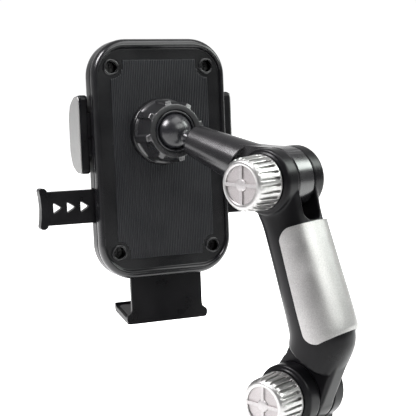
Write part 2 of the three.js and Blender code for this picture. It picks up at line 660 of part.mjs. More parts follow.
function frontCover() {
  const start = SPLIT + 0.4;
  let cover = extruded('y', bodyOutline, start, FRONT_FACE, { bevel: 1.4 })
    .subtract(extruded('y', innerOutline, start - 1, INNER_FRONT))
    .subtract(extruded('y', roundedRectangle(29.2, 50.2, 12), FRONT_FACE - 0.6, FRONT_FACE + 1));
  for (const place of screwPlaces) {
    cover = cover
      .add(rod('y', 3.2, 6.5, INNER_FRONT + 0.2, place, 12))
      .subtract(rod('y', 1.1, 6, INNER_FRONT - 0.4, place, 8));
  }
  cover = cover
    .add(rod('y', 2.4, 5.3, INNER_FRONT + 0.2, [0, PINION_Z], SMALL_ROUND))
    .subtract(rod('y', 1.1, 5, INNER_FRONT - 1, [0, PINION_Z], 8))
    .subtract(box([-18.8, 18.8], [start - 1, 5], [-60, -50]));
  for (const side of [-1, 1]) {
    const wall = side < 0 ? [-36, -30] : [30, 36];
    cover = cover
      .subtract(box(wall, [4.8, 9.6], [LEVER_Z - LEVER_HALF - 0.5, LEVER_Z + LEVER_HALF + 0.5]))
      .subtract(box(wall, [4.8, 9.6], [2.5, 23.5]));
  }
  return cover;
}

function addCovers(parent) {
  part(parent, 'rear_cover', rearCover(), 'black');
  part(parent, 'front_cover', frontCover(), 'black');
  const padOutline = roundedRectangle(28.8, 49.8, 11.6);
  const pad = extruded('y', padOutline, FRONT_FACE - 0.5, PAD_FRONT, { bevel: 0.5 });
  part(parent, 'front_pad', pad, 'pad');
  screwPlaces.forEach((place, i) => {
    const screw = rod('y', 2.5, 3.2, 5.1, place, 12)
      .add(rod('y', 0.95, 5, INNER_FRONT - 0.6, place, 8))
      .subtract(box([place[0] - 1.6, place[0] + 1.6], [2, 4.2], [place[1] - 0.35, place[1] + 0.35]))
      .subtract(box([place[0] - 0.35, place[0] + 0.35], [2, 4.2], [place[1] - 1.6, place[1] + 1.6]));
    part(parent, `cover_screw_${i + 1}`, screw, 'steel');
  });
  const pinionScrew = rod('y', 3.3, 4.1, 5.1, [0, PINION_Z], SMALL_ROUND)
    .add(rod('y', 0.95, 5, INNER_FRONT - 1.4, [0, PINION_Z], 8));
  part(parent, 'pinion_screw', pinionScrew, 'steel');
  const leaf = [
    [9.9, -52], [9.9, -50.2], [7.4, -48.4], [5.4, -46.2], [5.1, -45], [5.4, -43.8], [7.4, -41.6],
    [9.9, -39.8], [9.9, -38], [9.4, -38], [9.4, -39.6], [7, -41.3], [4.95, -43.6], [4.8, -45],
    [4.95, -46.4], [7, -48.7], [9.4, -50.4], [9.4, -52],
  ];
  part(parent, 'foot_spring', extruded('x', leaf, -4, 4), 'steel');
}

// ---------------------------------------------------------------- jaws, levers and pinion

// Rack teeth pointing up (direction 1) or down (-1) from a bar's edge, centred on the given places.
function rackTeeth(layer, centres, pitchLine, direction) {
  const root = 0.9;
  const tip = 0.6;
  return centres.map((x) => extruded('y', [
    [x - 0.85, pitchLine - direction * (root + 0.3)], [x + 0.85, pitchLine - direction * (root + 0.3)],
    [x + 0.85, pitchLine - direction * root], [x + 0.28, pitchLine + direction * tip],
    [x - 0.28, pitchLine + direction * tip], [x - 0.85, pitchLine - direction * root],
  ], ...layer));
}

function jawOutline(inset) {
  return [
    [LAYER_A[0] + inset, JAW_BOTTOM + inset], [7.5, JAW_BOTTOM + inset], [17, -3.6 + inset],
    [21.8 - inset, -0.4 + inset], [JAW_FRONT - inset, 4.4], [JAW_FRONT - inset, 21.4],
    [21.8 - inset, 26.2 - inset], [17, 29.4 - inset], [7.5, JAW_TOP - inset],
    [LAYER_A[0] + inset, JAW_TOP - inset],
  ];
}

const bothLayers = [LAYER_A[0], LAYER_B[1]];

function jaw(side) {
  const outside = JAW_INNER + JAW_THICKNESS;
  const plate = side < 0 ? [-outside, -JAW_INNER] : [JAW_INNER, outside];
  const arm = side < 0 ? [-JAW_INNER - 0.1, -32] : [32, JAW_INNER + 0.1];
  return extruded('x', jawOutline(0), ...plate, { bevel: 0.6 })
    .add(box(arm, bothLayers, [3, 23]));
}

// The squeeze lever on one side: a bar with a wider, dished thumb end and three arrow holes.
function lever(side) {
  const top = LEVER_Z + LEVER_HALF;
  const bottom = LEVER_Z - LEVER_HALF;
  const bar = mirrored([
    [24, bottom], [55.8, bottom], [57.2, bottom - 1.7], [59.6, bottom - 1.8], [LEVER_TIP, bottom - 0.8],
    [LEVER_TIP - 0.6, LEVER_Z - 5], [LEVER_TIP - 0.9, LEVER_Z], [LEVER_TIP - 0.6, LEVER_Z + 5],
    [LEVER_TIP, top + 0.8], [59.6, top + 1.8], [57.2, top + 1.7], [55.8, top], [24, top],
  ], side);
  const arrows = [36, 42.6, 49.2].map((tip) => mirrored(
    [[tip, LEVER_Z], [tip + 4.4, LEVER_Z + 2.7], [tip + 4.4, LEVER_Z - 2.7]], side));
  const end = mirrored([
    [57.4, bottom - 1.5], [59.6, bottom - 1.7], [LEVER_TIP, bottom - 0.8], [LEVER_TIP - 0.9, LEVER_Z],
    [LEVER_TIP, top + 0.8], [59.6, top + 1.7], [57.4, top + 1.5],
  ], side);
  return extruded('y', bar, ...bothLayers, { holes: arrows })
    .add(extruded('y', end, bothLayers[0] + 0.4, bothLayers[1] + 1.6));
}

// The left slider carries the left jaw and the right lever; its rack runs above the pinion.
function leftSlider() {
  const pitchLine = PINION_Z + PINION_PITCH_RADIUS;
  const bottom = LEVER_Z - LEVER_HALF;
  const top = LEVER_Z + LEVER_HALF;
  const places = Array.from({ length: 9 }, (_, i) => (i - 0.5) * TOOTH_PITCH);
  let slider = box([-32.5, -8], LAYER_A, [3, 23])
    .add(box([-15, 31], LAYER_A, [9, 14]))
    .add(box([24, 31], LAYER_A, [bottom, 14]))
    .add(box([24, 40], LAYER_A, [bottom, top]))
    .add(jaw(-1))
    .add(lever(1));
  for (const tooth of rackTeeth(LAYER_A, places, pitchLine, -1)) slider = slider.add(tooth);
  return slider;
}

// The right slider is its mirror image in the second layer, with its rack below the pinion.
function rightSlider() {
  const pitchLine = PINION_Z - PINION_PITCH_RADIUS;
  const bottom = LEVER_Z - LEVER_HALF;
  const top = LEVER_Z + LEVER_HALF;
  const places = Array.from({ length: 9 }, (_, i) => -i * TOOTH_PITCH + TOOTH_PITCH);
  let slider = box([8, 32.5], LAYER_B, [3, 23])
    .add(box([8, 15], LAYER_B, [-10, 23]))
    .add(box([-31, 15], LAYER_B, [-10, -5]))
    .add(box([-31, -24], LAYER_B, [bottom, -5]))
    .add(box([-40, -24], LAYER_B, [bottom, top]))
    .add(jaw(1))
    .add(lever(-1));
  for (const tooth of rackTeeth(LAYER_B, places, pitchLine, 1)) slider = slider.add(tooth);
  return slider;
}

function pinion() {
  const root = PINION_PITCH_RADIUS - 0.95;
  const tip = PINION_PITCH_RADIUS + 0.6;
  const outline = [];
  for (let i = 0; i < PINION_TEETH; i += 1) {
    const turn = Math.PI / 2 + (2 * Math.PI * i) / PINION_TEETH;
    const step = Math.PI / PINION_TEETH;
    for (const [radius, shift] of [[root, -0.62], [tip, -0.2], [tip, 0.2], [root, 0.62]]) {
      const angle = turn + shift * step;
      outline.push([radius * Math.cos(angle), PINION_Z + radius * Math.sin(angle)]);
    }
  }
  return extruded('y', outline, LAYER_A[0] + GAP, LAYER_B[1] - GAP)
    .subtract(rod('y', 2.47, LAYER_A[0], LAYER_B[1], [0, PINION_Z], SMALL_ROUND));
}

// A helix along X between the two levers' inner webs.
class Coil extends THREE.Curve {
  constructor(halfLength, radius, turns, y, z) {
    super();
    Object.assign(this, { halfLength, radius, turns, y, z });
  }

  getPoint(t, target = new THREE.Vector3()) {
    const turn = 2 * Math.PI * this.turns * t;
    return target.set(
      this.halfLength * (2 * t - 1),
      this.y + this.radius * Math.cos(turn),
      this.z + this.radius * Math.sin(turn));
  }
}

function returnSpring() {
  const turns = 11;
  const wire = new THREE.Shape(circle(0.35, [0, 0], 4).map(([a, b]) => new THREE.Vector2(a, b)));
  const path = new Coil(23.3, 1.7, turns, (LAYER_A[0] + LAYER_B[1]) / 2, LEVER_Z);
  const options = { steps: turns * 8, extrudePath: path, bevelEnabled: false };
  return solidOf(new THREE.ExtrudeGeometry(wire, options));
}

function addJaws(parent) {
  part(parent, 'left_slider', leftSlider(), 'black');
  part(parent, 'right_slider', rightSlider(), 'black');
  part(parent, 'pinion', pinion(), 'nylon');
  part(parent, 'return_spring', returnSpring(), 'steel');
  const outside = JAW_INNER + JAW_THICKNESS;
  const padOutline = [[14.2, -1], [20.6, 1], [23.2, 5.4], [23.2, 20.4], [20.6, 24.8], [14.2, 27]];
  for (const [side, name] of [[-1, 'left'], [1, 'right']]) {
    const place = (near, far) => (side < 0 ? [-far, -near] : [near, far]);
    const trim = extruded('x', jawOutline(0.5), ...place(outside + GAP, outside + 0.7));
    part(parent, `${name}_jaw_trim`, trim, 'silver');
    const pad = extruded('x', padOutline, ...place(JAW_INNER - 1.1, JAW_INNER - GAP));
    part(parent, `${name}_jaw_pad`, pad, 'rubber');
  }
}

// ---------------------------------------------------------------- foot

function addFoot(parent) {
  const side = [
    [FOOT_HALF_X, FOOT_TOP], [FOOT_HALF_X, -73.5], [19.2, -75.2], [20.8, -76.2], [21, -77.4],
    [21, -78.8], [20, FOOT_BOTTOM],
  ];
  const plate = [...side, ...mirrored(side, -1).reverse()];
  const ledge = [
    [FOOT_BACK + 0.2, FOOT_BOTTOM], [LEDGE_FRONT - 0.4, -76], [LEDGE_FRONT, -75.4], [LEDGE_FRONT, -72.2],
    [LEDGE_FRONT - 0.4, -71.8], [LEDGE_FRONT - 1.4, -72], [LEDGE_FRONT - 1.8, -73.8],
    [FOOT_FRONT - 0.2, -77.2], [FOOT_BACK + 0.2, -77],
  ];
  const foot = extruded('y', plate, FOOT_BACK, FOOT_FRONT)
    .add(extruded('x', ledge, -LEDGE_HALF_X, LEDGE_HALF_X, { bevel: 0.3 }));
  part(parent, 'foot', foot, 'black');
  const slope = (-73.8 + 77.2) / (LEDGE_FRONT - 1.8 - FOOT_FRONT + 0.2);
  const ledgeTop = (y) => -77.2 + slope * (y - FOOT_FRONT + 0.2);
  const [near, far] = [6, 21];
  const pad = [
    [near, ledgeTop(near) + GAP], [far, ledgeTop(far) + GAP], [far, ledgeTop(far) + 0.9],
    [near, ledgeTop(near) + 0.9],
  ];
  part(parent, 'foot_pad', extruded('x', pad, -18.9, 18.9), 'rubber');
}

// ---------------------------------------------------------------- assembly

addBase(mount);
const lowerElbow = group(mount, lowerJoint);
addTurret(lowerElbow);
addClamp(lowerElbow, lowerElbow, 'lower');

const upperElbow = group(mount, upperJoint);
const armFrame = group(upperElbow, [0, 0, 0], [ARM_LEAN, 0, 0]);
addUpperArm(armFrame);
addClamp(upperElbow, armFrame, 'upper');
addTubeArm(group(upperElbow, [0, 0, 0], [TUBE_PITCH, 0, 0]));

const cradle = group(mount, ballCentre, [CRADLE_TILT, 0, CRADLE_YAW]);
addBallJoint(cradle);
const body = group(cradle, [0, PANEL, BODY_CENTRE_Z]);
addCovers(body);
addJaws(body);
addFoot(body);

export default mount;
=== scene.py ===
"""Looks for the car phone mount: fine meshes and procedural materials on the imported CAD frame.

Shapes are modelled in millimetres in the frame of the body they belong to, then placed in metres.
"""

import json
import math

import bmesh
import bpy
from mathutils import Matrix, Vector


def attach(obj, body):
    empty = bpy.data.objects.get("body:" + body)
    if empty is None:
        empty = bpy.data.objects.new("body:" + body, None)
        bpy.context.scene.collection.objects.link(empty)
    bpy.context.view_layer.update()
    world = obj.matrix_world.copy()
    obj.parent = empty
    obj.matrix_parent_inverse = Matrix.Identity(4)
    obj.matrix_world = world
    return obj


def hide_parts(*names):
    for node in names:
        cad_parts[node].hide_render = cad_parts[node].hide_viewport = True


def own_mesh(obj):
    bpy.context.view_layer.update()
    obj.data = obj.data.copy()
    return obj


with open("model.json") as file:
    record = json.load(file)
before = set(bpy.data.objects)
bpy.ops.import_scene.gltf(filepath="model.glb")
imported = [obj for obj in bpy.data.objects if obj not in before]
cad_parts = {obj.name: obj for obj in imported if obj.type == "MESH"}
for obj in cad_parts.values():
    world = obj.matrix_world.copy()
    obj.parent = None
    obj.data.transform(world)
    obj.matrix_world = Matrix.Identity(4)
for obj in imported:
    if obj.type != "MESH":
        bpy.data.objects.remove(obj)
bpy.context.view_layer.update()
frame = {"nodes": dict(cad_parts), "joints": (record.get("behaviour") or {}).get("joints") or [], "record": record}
joints = {j["name"]: j for j in frame["joints"]}

MM = 0.001

# ---------------------------------------------------------------- frames, from the record's joints


def joint_place(name):
    return Vector(joints[name]["pos_m"])


def joint_axis(name):
    return Vector(joints[name]["axis"]).normalized()


def local_frame(origin, x_axis, y_axis):
    """Matrix from millimetres in a local frame to metres in the row frame."""
    z_axis = x_axis.cross(y_axis)
    turn = Matrix((x_axis, y_axis, z_axis)).transposed().to_4x4()
    return Matrix.Translation(origin) @ turn @ Matrix.Scale(MM, 4)


ARM_OFFSET, ARM_DROP = 20.0, 89.8  # the lower joint in the arm's frame, across and down
lower_joint = joint_place("lower_elbow")
upper_joint = joint_place("upper_elbow")
ball_centre = joint_place("ball_yaw")
X_AXIS = Vector((1, 0, 0))
span = lower_joint - upper_joint
lean = math.atan2(span.z, span.y) - math.atan2(-ARM_DROP, ARM_OFFSET)
reach = ball_centre - upper_joint
TUBE_REACH = reach.length / MM

LOWER = local_frame(lower_joint, X_AXIS, Vector((0, 1, 0)))
UPPER = local_frame(upper_joint, X_AXIS, Vector((0, 1, 0)))
ARM = local_frame(upper_joint, X_AXIS, Vector((0, math.cos(lean), math.sin(lean))))
TUBE = local_frame(upper_joint, X_AXIS, reach.normalized())
ROW = Matrix.Scale(MM, 4)
CRADLE = local_frame(ball_centre, joint_axis("ball_tilt"), joint_axis("cradle_spin"))
PANEL, BODY_DROP = 16.0, 13.0  # the rear panel behind the ball, and the body's centre below it
BODY = CRADLE @ Matrix.Translation((0, PANEL, -BODY_DROP))

# ---------------------------------------------------------------- mesh tools


def in_scene(name, data):
    thing = bpy.data.objects.new(name, data)
    bpy.context.scene.collection.objects.link(thing)
    return thing


def new_object(name, points, faces):
    mesh = bpy.data.meshes.new(name)
    bm = bmesh.new()
    vertices = [bm.verts.new(p) for p in points]
    for face in faces:
        bm.faces.new([vertices[i] for i in face])
    bmesh.ops.remove_doubles(bm, verts=bm.verts, dist=1e-4)
    bmesh.ops.recalc_face_normals(bm, faces=bm.faces)
    bm.to_mesh(mesh)
    bm.free()
    return in_scene(name, mesh)


def loft(name, rings, around=False):
    """Skins rings of equal length; the first and the last are closed, or joined to each other if around."""
    size = len(rings[0])
    points = [p for ring in rings for p in ring]
    faces = []
    steps = len(rings) if around else len(rings) - 1
    for i in range(steps):
        a, b = i * size, ((i + 1) % len(rings)) * size
        faces += [(a + k, a + (k + 1) % size, b + (k + 1) % size, b + k) for k in range(size)]
    if not around:
        faces.append(tuple(range(size)))
        faces.append(tuple(range(len(points) - size, len(points))))
    return new_object(name, points, faces)


def turns(count):
    """Evenly spaced angles round a whole turn."""
    return [2 * math.pi * k / count for k in range(count)]


def mirrored(ends):
    """[place, size] rows of a rib from its one end to its other, from those of its far end."""
    return [(-place, size) for place, size in reversed(ends)] + ends


def on_axis(axis, a, b, along):
    """The point at a, b across an axis: [y, z] across x, [x, z] across y, [x, y] across z."""
    return {"x": (along, a, b), "y": (a, along, b), "z": (a, b, along)}[axis]


def circle(radius, centre, sides):
    return [(centre[0] + radius * math.cos(t), centre[1] + radius * math.sin(t)) for t in turns(sides)]


def arc(centre, radius, first, last, steps):
    """Points on a circle from one angle to another, in degrees."""
    angles = [math.radians(first + (last - first) * k / steps) for k in range(steps + 1)]
    return [(centre[0] + radius * math.cos(t), centre[1] + radius * math.sin(t)) for t in angles]


def lathe(name, axis, profile, sides=96, centre=(0, 0), around=False):
    """Turns [radius, place along the axis] about the axis."""
    rings = []
    for radius, along in profile:
        rings.append([on_axis(axis, a, b, along) for a, b in circle(radius, centre, sides)])
    return loft(name, rings, around)


def prism(name, axis, outline, start, end):
    return loft(name, [[on_axis(axis, a, b, along) for a, b in outline] for along in (start, end)])


def block(name, x, y, z):
    return prism(name, "z", [(x[0], y[0]), (x[1], y[0]), (x[1], y[1]), (x[0], y[1])], *z)


def superellipse(half_a, half_b, power, sides=120):
    """An oval that gets squarer as its power grows."""
    outline = []
    for c, s in ((math.cos(t), math.sin(t)) for t in turns(sides)):
        outline.append((
            half_a * math.copysign(abs(c) ** (2 / power), c),
            half_b * math.copysign(abs(s) ** (2 / power), s),
        ))
    return outline


def rounded_rectangle(half_a, half_b, radius, steps):
    a, b = half_a - radius, half_b - radius
    outline = []
    for centre, start in (((a, b), 0), ((-a, b), 90), ((-a, -b), 180), ((a, -b), 270)):
        outline += arc(centre, radius, start, start + 90, steps)
    return outline


def filleted(outline, radius, steps=5):
    """Rounds every corner of an outline with a curve that starts at most radius from the corner."""
    result = []
    count = len(outline)
    for k in range(count):
        before, here, after = (Vector(outline[(k + d) % count]) for d in (-1, 0, 1))
        cut_in = min(radius, (before - here).length * 0.48)
        cut_out = min(radius, (after - here).length * 0.48)
        start = here + (before - here).normalized() * cut_in
        end = here + (after - here).normalized() * cut_out
        for i in range(steps + 1):
            t = i / steps
            point = start * (1 - t) ** 2 + here * 2 * t * (1 - t) + end * t ** 2
            result.append(tuple(point))
    return result


def bake(piece):
    """Applies a piece's modifiers to its mesh."""
    evaluated = piece.evaluated_get(bpy.context.evaluated_depsgraph_get())
    mesh = bpy.data.meshes.new_from_object(evaluated)
    piece.modifiers.clear()
    old, piece.data = piece.data, mesh
    bpy.data.meshes.remove(old)
    return piece


def boolean(piece, operation, *tools):
    for tool in tools:
        modifier = piece.modifiers.new("boolean", "BOOLEAN")
        modifier.operation = operation
        modifier.solver = "EXACT"
        modifier.object = tool
    bpy.context.view_layer.update()
    bake(piece)
    for tool in tools:
        bpy.data.objects.remove(tool)
    return piece


def add(piece, *tools):
    return boolean(piece, "UNION", *tools)


def cut(piece, *tools):
    return boolean(piece, "DIFFERENCE", *tools)


def keep(piece, *tools):
    return boolean(piece, "INTERSECT", *tools)


def bevelled(piece, width, segments, angle):
    modifier = piece.modifiers.new("bevel", "BEVEL")
    modifier.width = width
    modifier.segments = segments
    modifier.limit_method = "ANGLE"
    modifier.angle_limit = math.radians(angle)
    modifier.use_clamp_overlap = True
    modifier.miter_outer = "MITER_ARC"
    bake(piece)
    return piece


def moulded(piece, smoothing):
    """Fuses a piece's shells into one skin with softly rounded edges and fillets."""
    remesh = piece.modifiers.new("remesh", "REMESH")
    remesh.mode = "VOXEL"
    remesh.voxel_size = 0.4
    smooth = piece.modifiers.new("smooth", "SMOOTH")
    smooth.factor = 0.5
    smooth.iterations = smoothing
    bake(piece)
    return piece


def joined(name, pieces):
    """One piece made of several closed shells."""
    bm = bmesh.new()
    for piece in pieces:
        bm.from_mesh(piece.data)
        bpy.data.objects.remove(piece)
    mesh = bpy.data.meshes.new(name)
    bm.to_mesh(mesh)
    bm.free()
    return in_scene(name, mesh)


def place(piece, where, body, material, slot, *nodes, sharp=None):
    """Moves a piece from its local frame into the row frame, and hands it to its body."""
    piece.data.transform(where)
    piece.data.materials.clear()
    piece.data.materials.append(material)
    piece.data.shade_smooth()
    if sharp:
        piece.data.set_sharp_from_angle(angle=math.radians(sharp))
        normals = piece.modifiers.new("normals", "WEIGHTED_NORMAL")
        normals.keep_sharp = True
        bake(piece)
    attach(piece, body)
    if nodes:
        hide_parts(*nodes)
    return piece


# ---------------------------------------------------------------- materials

RELIEF_DEPTH = 0.0001  # metres


def shader(name, colour, roughness, metallic=0.0, specular=0.42):
    material = bpy.data.materials.new(name)
    material.use_nodes = True
    nodes = material.node_tree.nodes
    surface = nodes["Principled BSDF"]
    surface.inputs["Base Color"].default_value = (*colour, 1)
    surface.inputs["Roughness"].default_value = roughness
    surface.inputs["Metallic"].default_value = metallic
    surface.inputs["Specular IOR Level"].default_value = specular
    return material, surface


def noise(material, scale, detail):
    """Noise in the object's own coordinates; scale is in waves per metre."""
    nodes, links = material.node_tree.nodes, material.node_tree.links
    coordinates = nodes.new("ShaderNodeTexCoord")
    texture = nodes.new("ShaderNodeTexNoise")
    texture.inputs["Scale"].default_value = scale
    texture.inputs["Detail"].default_value = detail
    links.new(coordinates.outputs["Object"], texture.inputs["Vector"])
    return texture.outputs["Fac"]


def gradient(owner, direction, space):
    """Distance along a direction, in a texture space of a material or a world."""
    nodes, links = owner.node_tree.nodes, owner.node_tree.links
    coordinates = nodes.new("ShaderNodeTexCoord")
    along = nodes.new("ShaderNodeVectorMath")
    along.operation = "DOT_PRODUCT"
    along.inputs[1].default_value = direction
    links.new(coordinates.outputs[space], along.inputs[0])
    return along.outputs["Value"]


def ramp(material, value, low, high, start=0.3, end=0.7):
    """Maps a value onto a range of numbers, or of colours if low and high are colours."""
    nodes, links = material.node_tree.nodes, material.node_tree.links
    if isinstance(low, tuple):
        node = nodes.new("ShaderNodeValToRGB")
        node.color_ramp.elements[0].position = start
        node.color_ramp.elements[1].position = end
        node.color_ramp.elements[0].color = (*low, 1)
        node.color_ramp.elements[1].color = (*high, 1)
        links.new(value, node.inputs["Fac"])
        return node.outputs["Color"]
    node = nodes.new("ShaderNodeMapRange")
    node.inputs["From Min"].default_value = start
    node.inputs["From Max"].default_value = end
    node.inputs["To Min"].default_value = low
    node.inputs["To Max"].default_value = high
    links.new(value, node.inputs["Value"])
    return node.outputs["Result"]


def relief(material, surface, *heights):
    """Bumps from [height, strength] pairs, stacked."""
    nodes, links = material.node_tree.nodes, material.node_tree.links
    previous = None
    for height, strength in heights:
        bump = nodes.new("ShaderNodeBump")
        bump.inputs["Strength"].default_value = strength
        bump.inputs["Distance"].default_value = RELIEF_DEPTH
        links.new(height, bump.inputs["Height"])
        if previous:
            links.new(previous, bump.inputs["Normal"])
        previous = bump.outputs["Normal"]
    links.new(previous, surface.inputs["Normal"])


def moulded_plastic(name, dark, light, smooth, rough, grain, strength, specular=0.3):
    """Moulded plastic: a spark-eroded grain, with colour and gloss that vary in soft clouds.

    dark and light bound its colour, smooth and rough its roughness; grain is in waves per metre.
    """
    material, surface = shader(name, dark, rough, 0.0, specular)
    links = material.node_tree.links
    cloud = noise(material, 90, 4)
    fine = noise(material, grain, 2)
    links.new(ramp(material, cloud, dark, light), surface.inputs["Base Color"])
    links.new(ramp(material, cloud, smooth, rough), surface.inputs["Roughness"])
    relief(material, surface, (fine, strength), (cloud, 0.04))
    return material


def metal(name, dark, light, smooth, rough, grain, strength):
    """Metal or metallised plastic, with a fine grain of colour and a slightly uneven polish."""
    material, surface = shader(name, light, rough, 1.0)
    links = material.node_tree.links
    fine = noise(material, grain, 3)
    cloud = noise(material, 120, 4)
    links.new(ramp(material, fine, dark, light), surface.inputs["Base Color"])
    links.new(ramp(material, cloud, smooth, rough), surface.inputs["Roughness"])
    relief(material, surface, (fine, strength), (cloud, 0.03))
    return material


# Plastics: arms and levers, rear cover, ball and liner, nut, tube arm, panel ribs, and the hidden pinion.
black = moulded_plastic(
    "black_plastic", (0.0034, 0.0033, 0.0039), (0.0056, 0.0054, 0.0062), 0.26, 0.34, 2400, 0.12, 0.14)
black_cover = moulded_plastic(
    "black_cover", (0.0045, 0.0045, 0.0052), (0.0068, 0.0068, 0.0076), 0.19, 0.26, 1700, 0.12, 0.45)
gloss = moulded_plastic(
    "gloss_black", (0.01, 0.01, 0.012), (0.014, 0.014, 0.016), 0.24, 0.3, 3000, 0.02, 0.5)
black_gloss = moulded_plastic(
    "black_gloss", (0.0075, 0.0075, 0.0085), (0.0105, 0.0105, 0.0115), 0.25, 0.32, 2600, 0.05, 0.9)
black_tube = moulded_plastic(
    "black_tube", (0.006, 0.0058, 0.0068), (0.009, 0.0086, 0.0098), 0.2, 0.26, 2400, 0.05, 0.75)
rib_plastic = moulded_plastic(
    "rib_plastic", (0.012, 0.0125, 0.0145), (0.0165, 0.017, 0.019), 0.4, 0.5, 1700, 0.2)
nylon = moulded_plastic("nylon", (0.6, 0.59, 0.55), (0.7, 0.69, 0.66), 0.45, 0.6, 1600, 0.1)

# Rubbers: suction pad and grips, and the foot's lighter pad.
rubber = moulded_plastic(
    "rubber", (0.012, 0.012, 0.013), (0.022, 0.022, 0.023), 0.62, 0.8, 1400, 0.35)
rubber_grey = moulded_plastic(
    "rubber_grey", (0.03, 0.03, 0.03), (0.045, 0.045, 0.045), 0.5, 0.65, 1400, 0.3)

# Metals: arm plate, knobs with their inlays and spokes, jaw trims, bolts, hidden screws, and brass.
satin = metal("satin_silver", (0.36, 0.352, 0.35), (0.51, 0.505, 0.495), 0.38, 0.46, 2600, 0.6)
polished = metal("polished_silver", (0.42, 0.415, 0.41), (0.53, 0.525, 0.516), 0.32, 0.4, 900, 0.04)
frosted = metal("frosted_silver", (0.33, 0.31, 0.31), (0.5, 0.475, 0.475), 0.42, 0.55, 2800, 0.6)
star_silver = metal("star_silver", (0.4, 0.387, 0.387), (0.5, 0.483, 0.483), 0.42, 0.52, 2000, 0.2)
trim_silver = metal("trim_silver", (0.32, 0.32, 0.315), (0.39, 0.39, 0.385), 0.4, 0.5, 2400, 0.12)
steel = metal("steel", (0.36, 0.36, 0.37), (0.5, 0.5, 0.51), 0.25, 0.4, 1500, 0.1)
dark_steel = metal("dark_steel", (0.02, 0.02, 0.02), (0.05, 0.05, 0.05), 0.35, 0.5, 1500, 0.1)
brass = metal("brass", (0.5, 0.36, 0.14), (0.62, 0.46, 0.2), 0.25, 0.4, 1500, 0.1)

SLOT_MATERIAL = {
    "black_plastic": black, "gloss_black": gloss, "suction_rubber": rubber, "grip_rubber": rubber,
    "silver_metal": satin, "silver_trim": trim_silver, "steel": steel, "brass": brass, "nylon": nylon,
}
for subpart in frame["record"]["subparts"]:  # for the CAD nodes that stay in view
    mesh = frame["nodes"][subpart["node"]].data
    mesh.materials.clear()
    hidden_screw = subpart["node"].startswith("cover_screw")
    mesh.materials.append(dark_steel if hidden_screw else SLOT_MATERIAL[subpart["material_slot"]])

# ---------------------------------------------------------------- elbows

EAR_RADIUS, EAR_OUTER = 14.1, 12.4
SLOT_HALF, SLOT_DEPTH, SLOT_CORNER = 5.35, 20.5, 3.6  # the gap between the ears
TONGUE_HALF = 5.15
SCOOP_RADIUS = 21.3
BOLT_BORE, HEX_POCKET, HEX_DEPTH = 3.1, 5.8, 3.6
WASHER_POCKET, WASHER_DEPTH = 10.3, 0.6
SEAT_FACE = EAR_OUTER + 0.6
KNOB_REAR = SEAT_FACE + 0.7
BEYOND = 26.0  # further than any part of an elbow


def barrel(name):
    """The drum that both ears are cut from, with the knob's raised seat on the -X side."""
    return lathe(name, "x", [
        (0, -SEAT_FACE), (11.9, -SEAT_FACE), (12.2, -SEAT_FACE + 0.12), (12.3, -SEAT_FACE + 0.4),
        (12.35, -EAR_OUTER + 0.35), (12.75, -EAR_OUTER + 0.35), (12.85, -EAR_OUTER), (13.2, -EAR_OUTER),
        (13.7, -EAR_OUTER + 0.15), (14.0, -EAR_OUTER + 0.5), (EAR_RADIUS, -EAR_OUTER + 1),
        (EAR_RADIUS, EAR_OUTER - 1), (14.0, EAR_OUTER - 0.5), (13.7, EAR_OUTER - 0.15), (13.2, EAR_OUTER),
        (0, EAR_OUTER),
    ], 128)


def fork_cuts():
    """The gap between the ears, the bolt's bore and the pocket for its head."""
    low = SLOT_CORNER - SLOT_DEPTH
    outline = [
        (-SLOT_HALF, BEYOND), *arc((SLOT_CORNER - SLOT_HALF, low), SLOT_CORNER, 180, 270, 8),
        *arc((SLOT_HALF - SLOT_CORNER, low), SLOT_CORNER, 270, 360, 8), (SLOT_HALF, BEYOND),
    ]
    slot = prism("slot", "y", outline, -BEYOND, BEYOND)
    bore = lathe("bore", "x", [(BOLT_BORE, -BEYOND), (BOLT_BORE, BEYOND)], 32)
    head = prism("head", "x", circle(HEX_POCKET, (0, 0), 6), EAR_OUTER - HEX_DEPTH, BEYOND)
    return slot, bore, head


def tongue_cuts(centre=(0, 0)):
    """The bolt's bore through a tongue, and a washer's pocket on each side of it."""
    bore = lathe("bore", "x", [(BOLT_BORE, -BEYOND), (BOLT_BORE, BEYOND)], 32, centre)
    pockets = []
    for side in (1, -1):
        profile = [(WASHER_POCKET, side * end) for end in (TONGUE_HALF - WASHER_DEPTH, BEYOND)]
        pockets.append(lathe("pocket", "x", profile, 64, centre))
    return bore, *pockets


def tongue_disc(centre=(0, 0)):
    edge = 0.5
    near, far = EAR_RADIUS - edge, TONGUE_HALF - edge
    profile = [(near, -TONGUE_HALF), (EAR_RADIUS, -far), (EAR_RADIUS, far), (near, TONGUE_HALF)]
    return lathe("disc", "x", profile, 128, centre)


def scoops():
    """Clearance for the fork's ears on both sides of a tongue."""
    return [
        lathe("scoop", "x", [(SCOOP_RADIUS, side * TONGUE_HALF), (SCOOP_RADIUS, side * BEYOND)], 128)
        for side in (1, -1)
    ]


# ---------------------------------------------------------------- upper arm and its plate

ARM_FOOT = (ARM_OFFSET, -ARM_DROP)  # the lower joint in the arm's frame
CHIN_TURN, CHIN_AWAY = (0.766, -0.643), 19.3  # the direction in which the lower tongue leaves the body


def chins():
    """Flat cuts that end the arm's body on both sides of its lower tongue."""
    reach_out = 60
    down = Vector(CHIN_TURN).normalized() * reach_out
    across = Vector((-down.y, down.x))
    top = Vector(ARM_FOOT) - down * CHIN_AWAY / reach_out
    outline = [tuple(p) for p in (top + across, top - across, top - across + down, top + across + down)]
    return [
        prism("chin", "x", outline, *sorted((side * TONGUE_HALF, side * BEYOND)))
        for side in (1, -1)
    ]


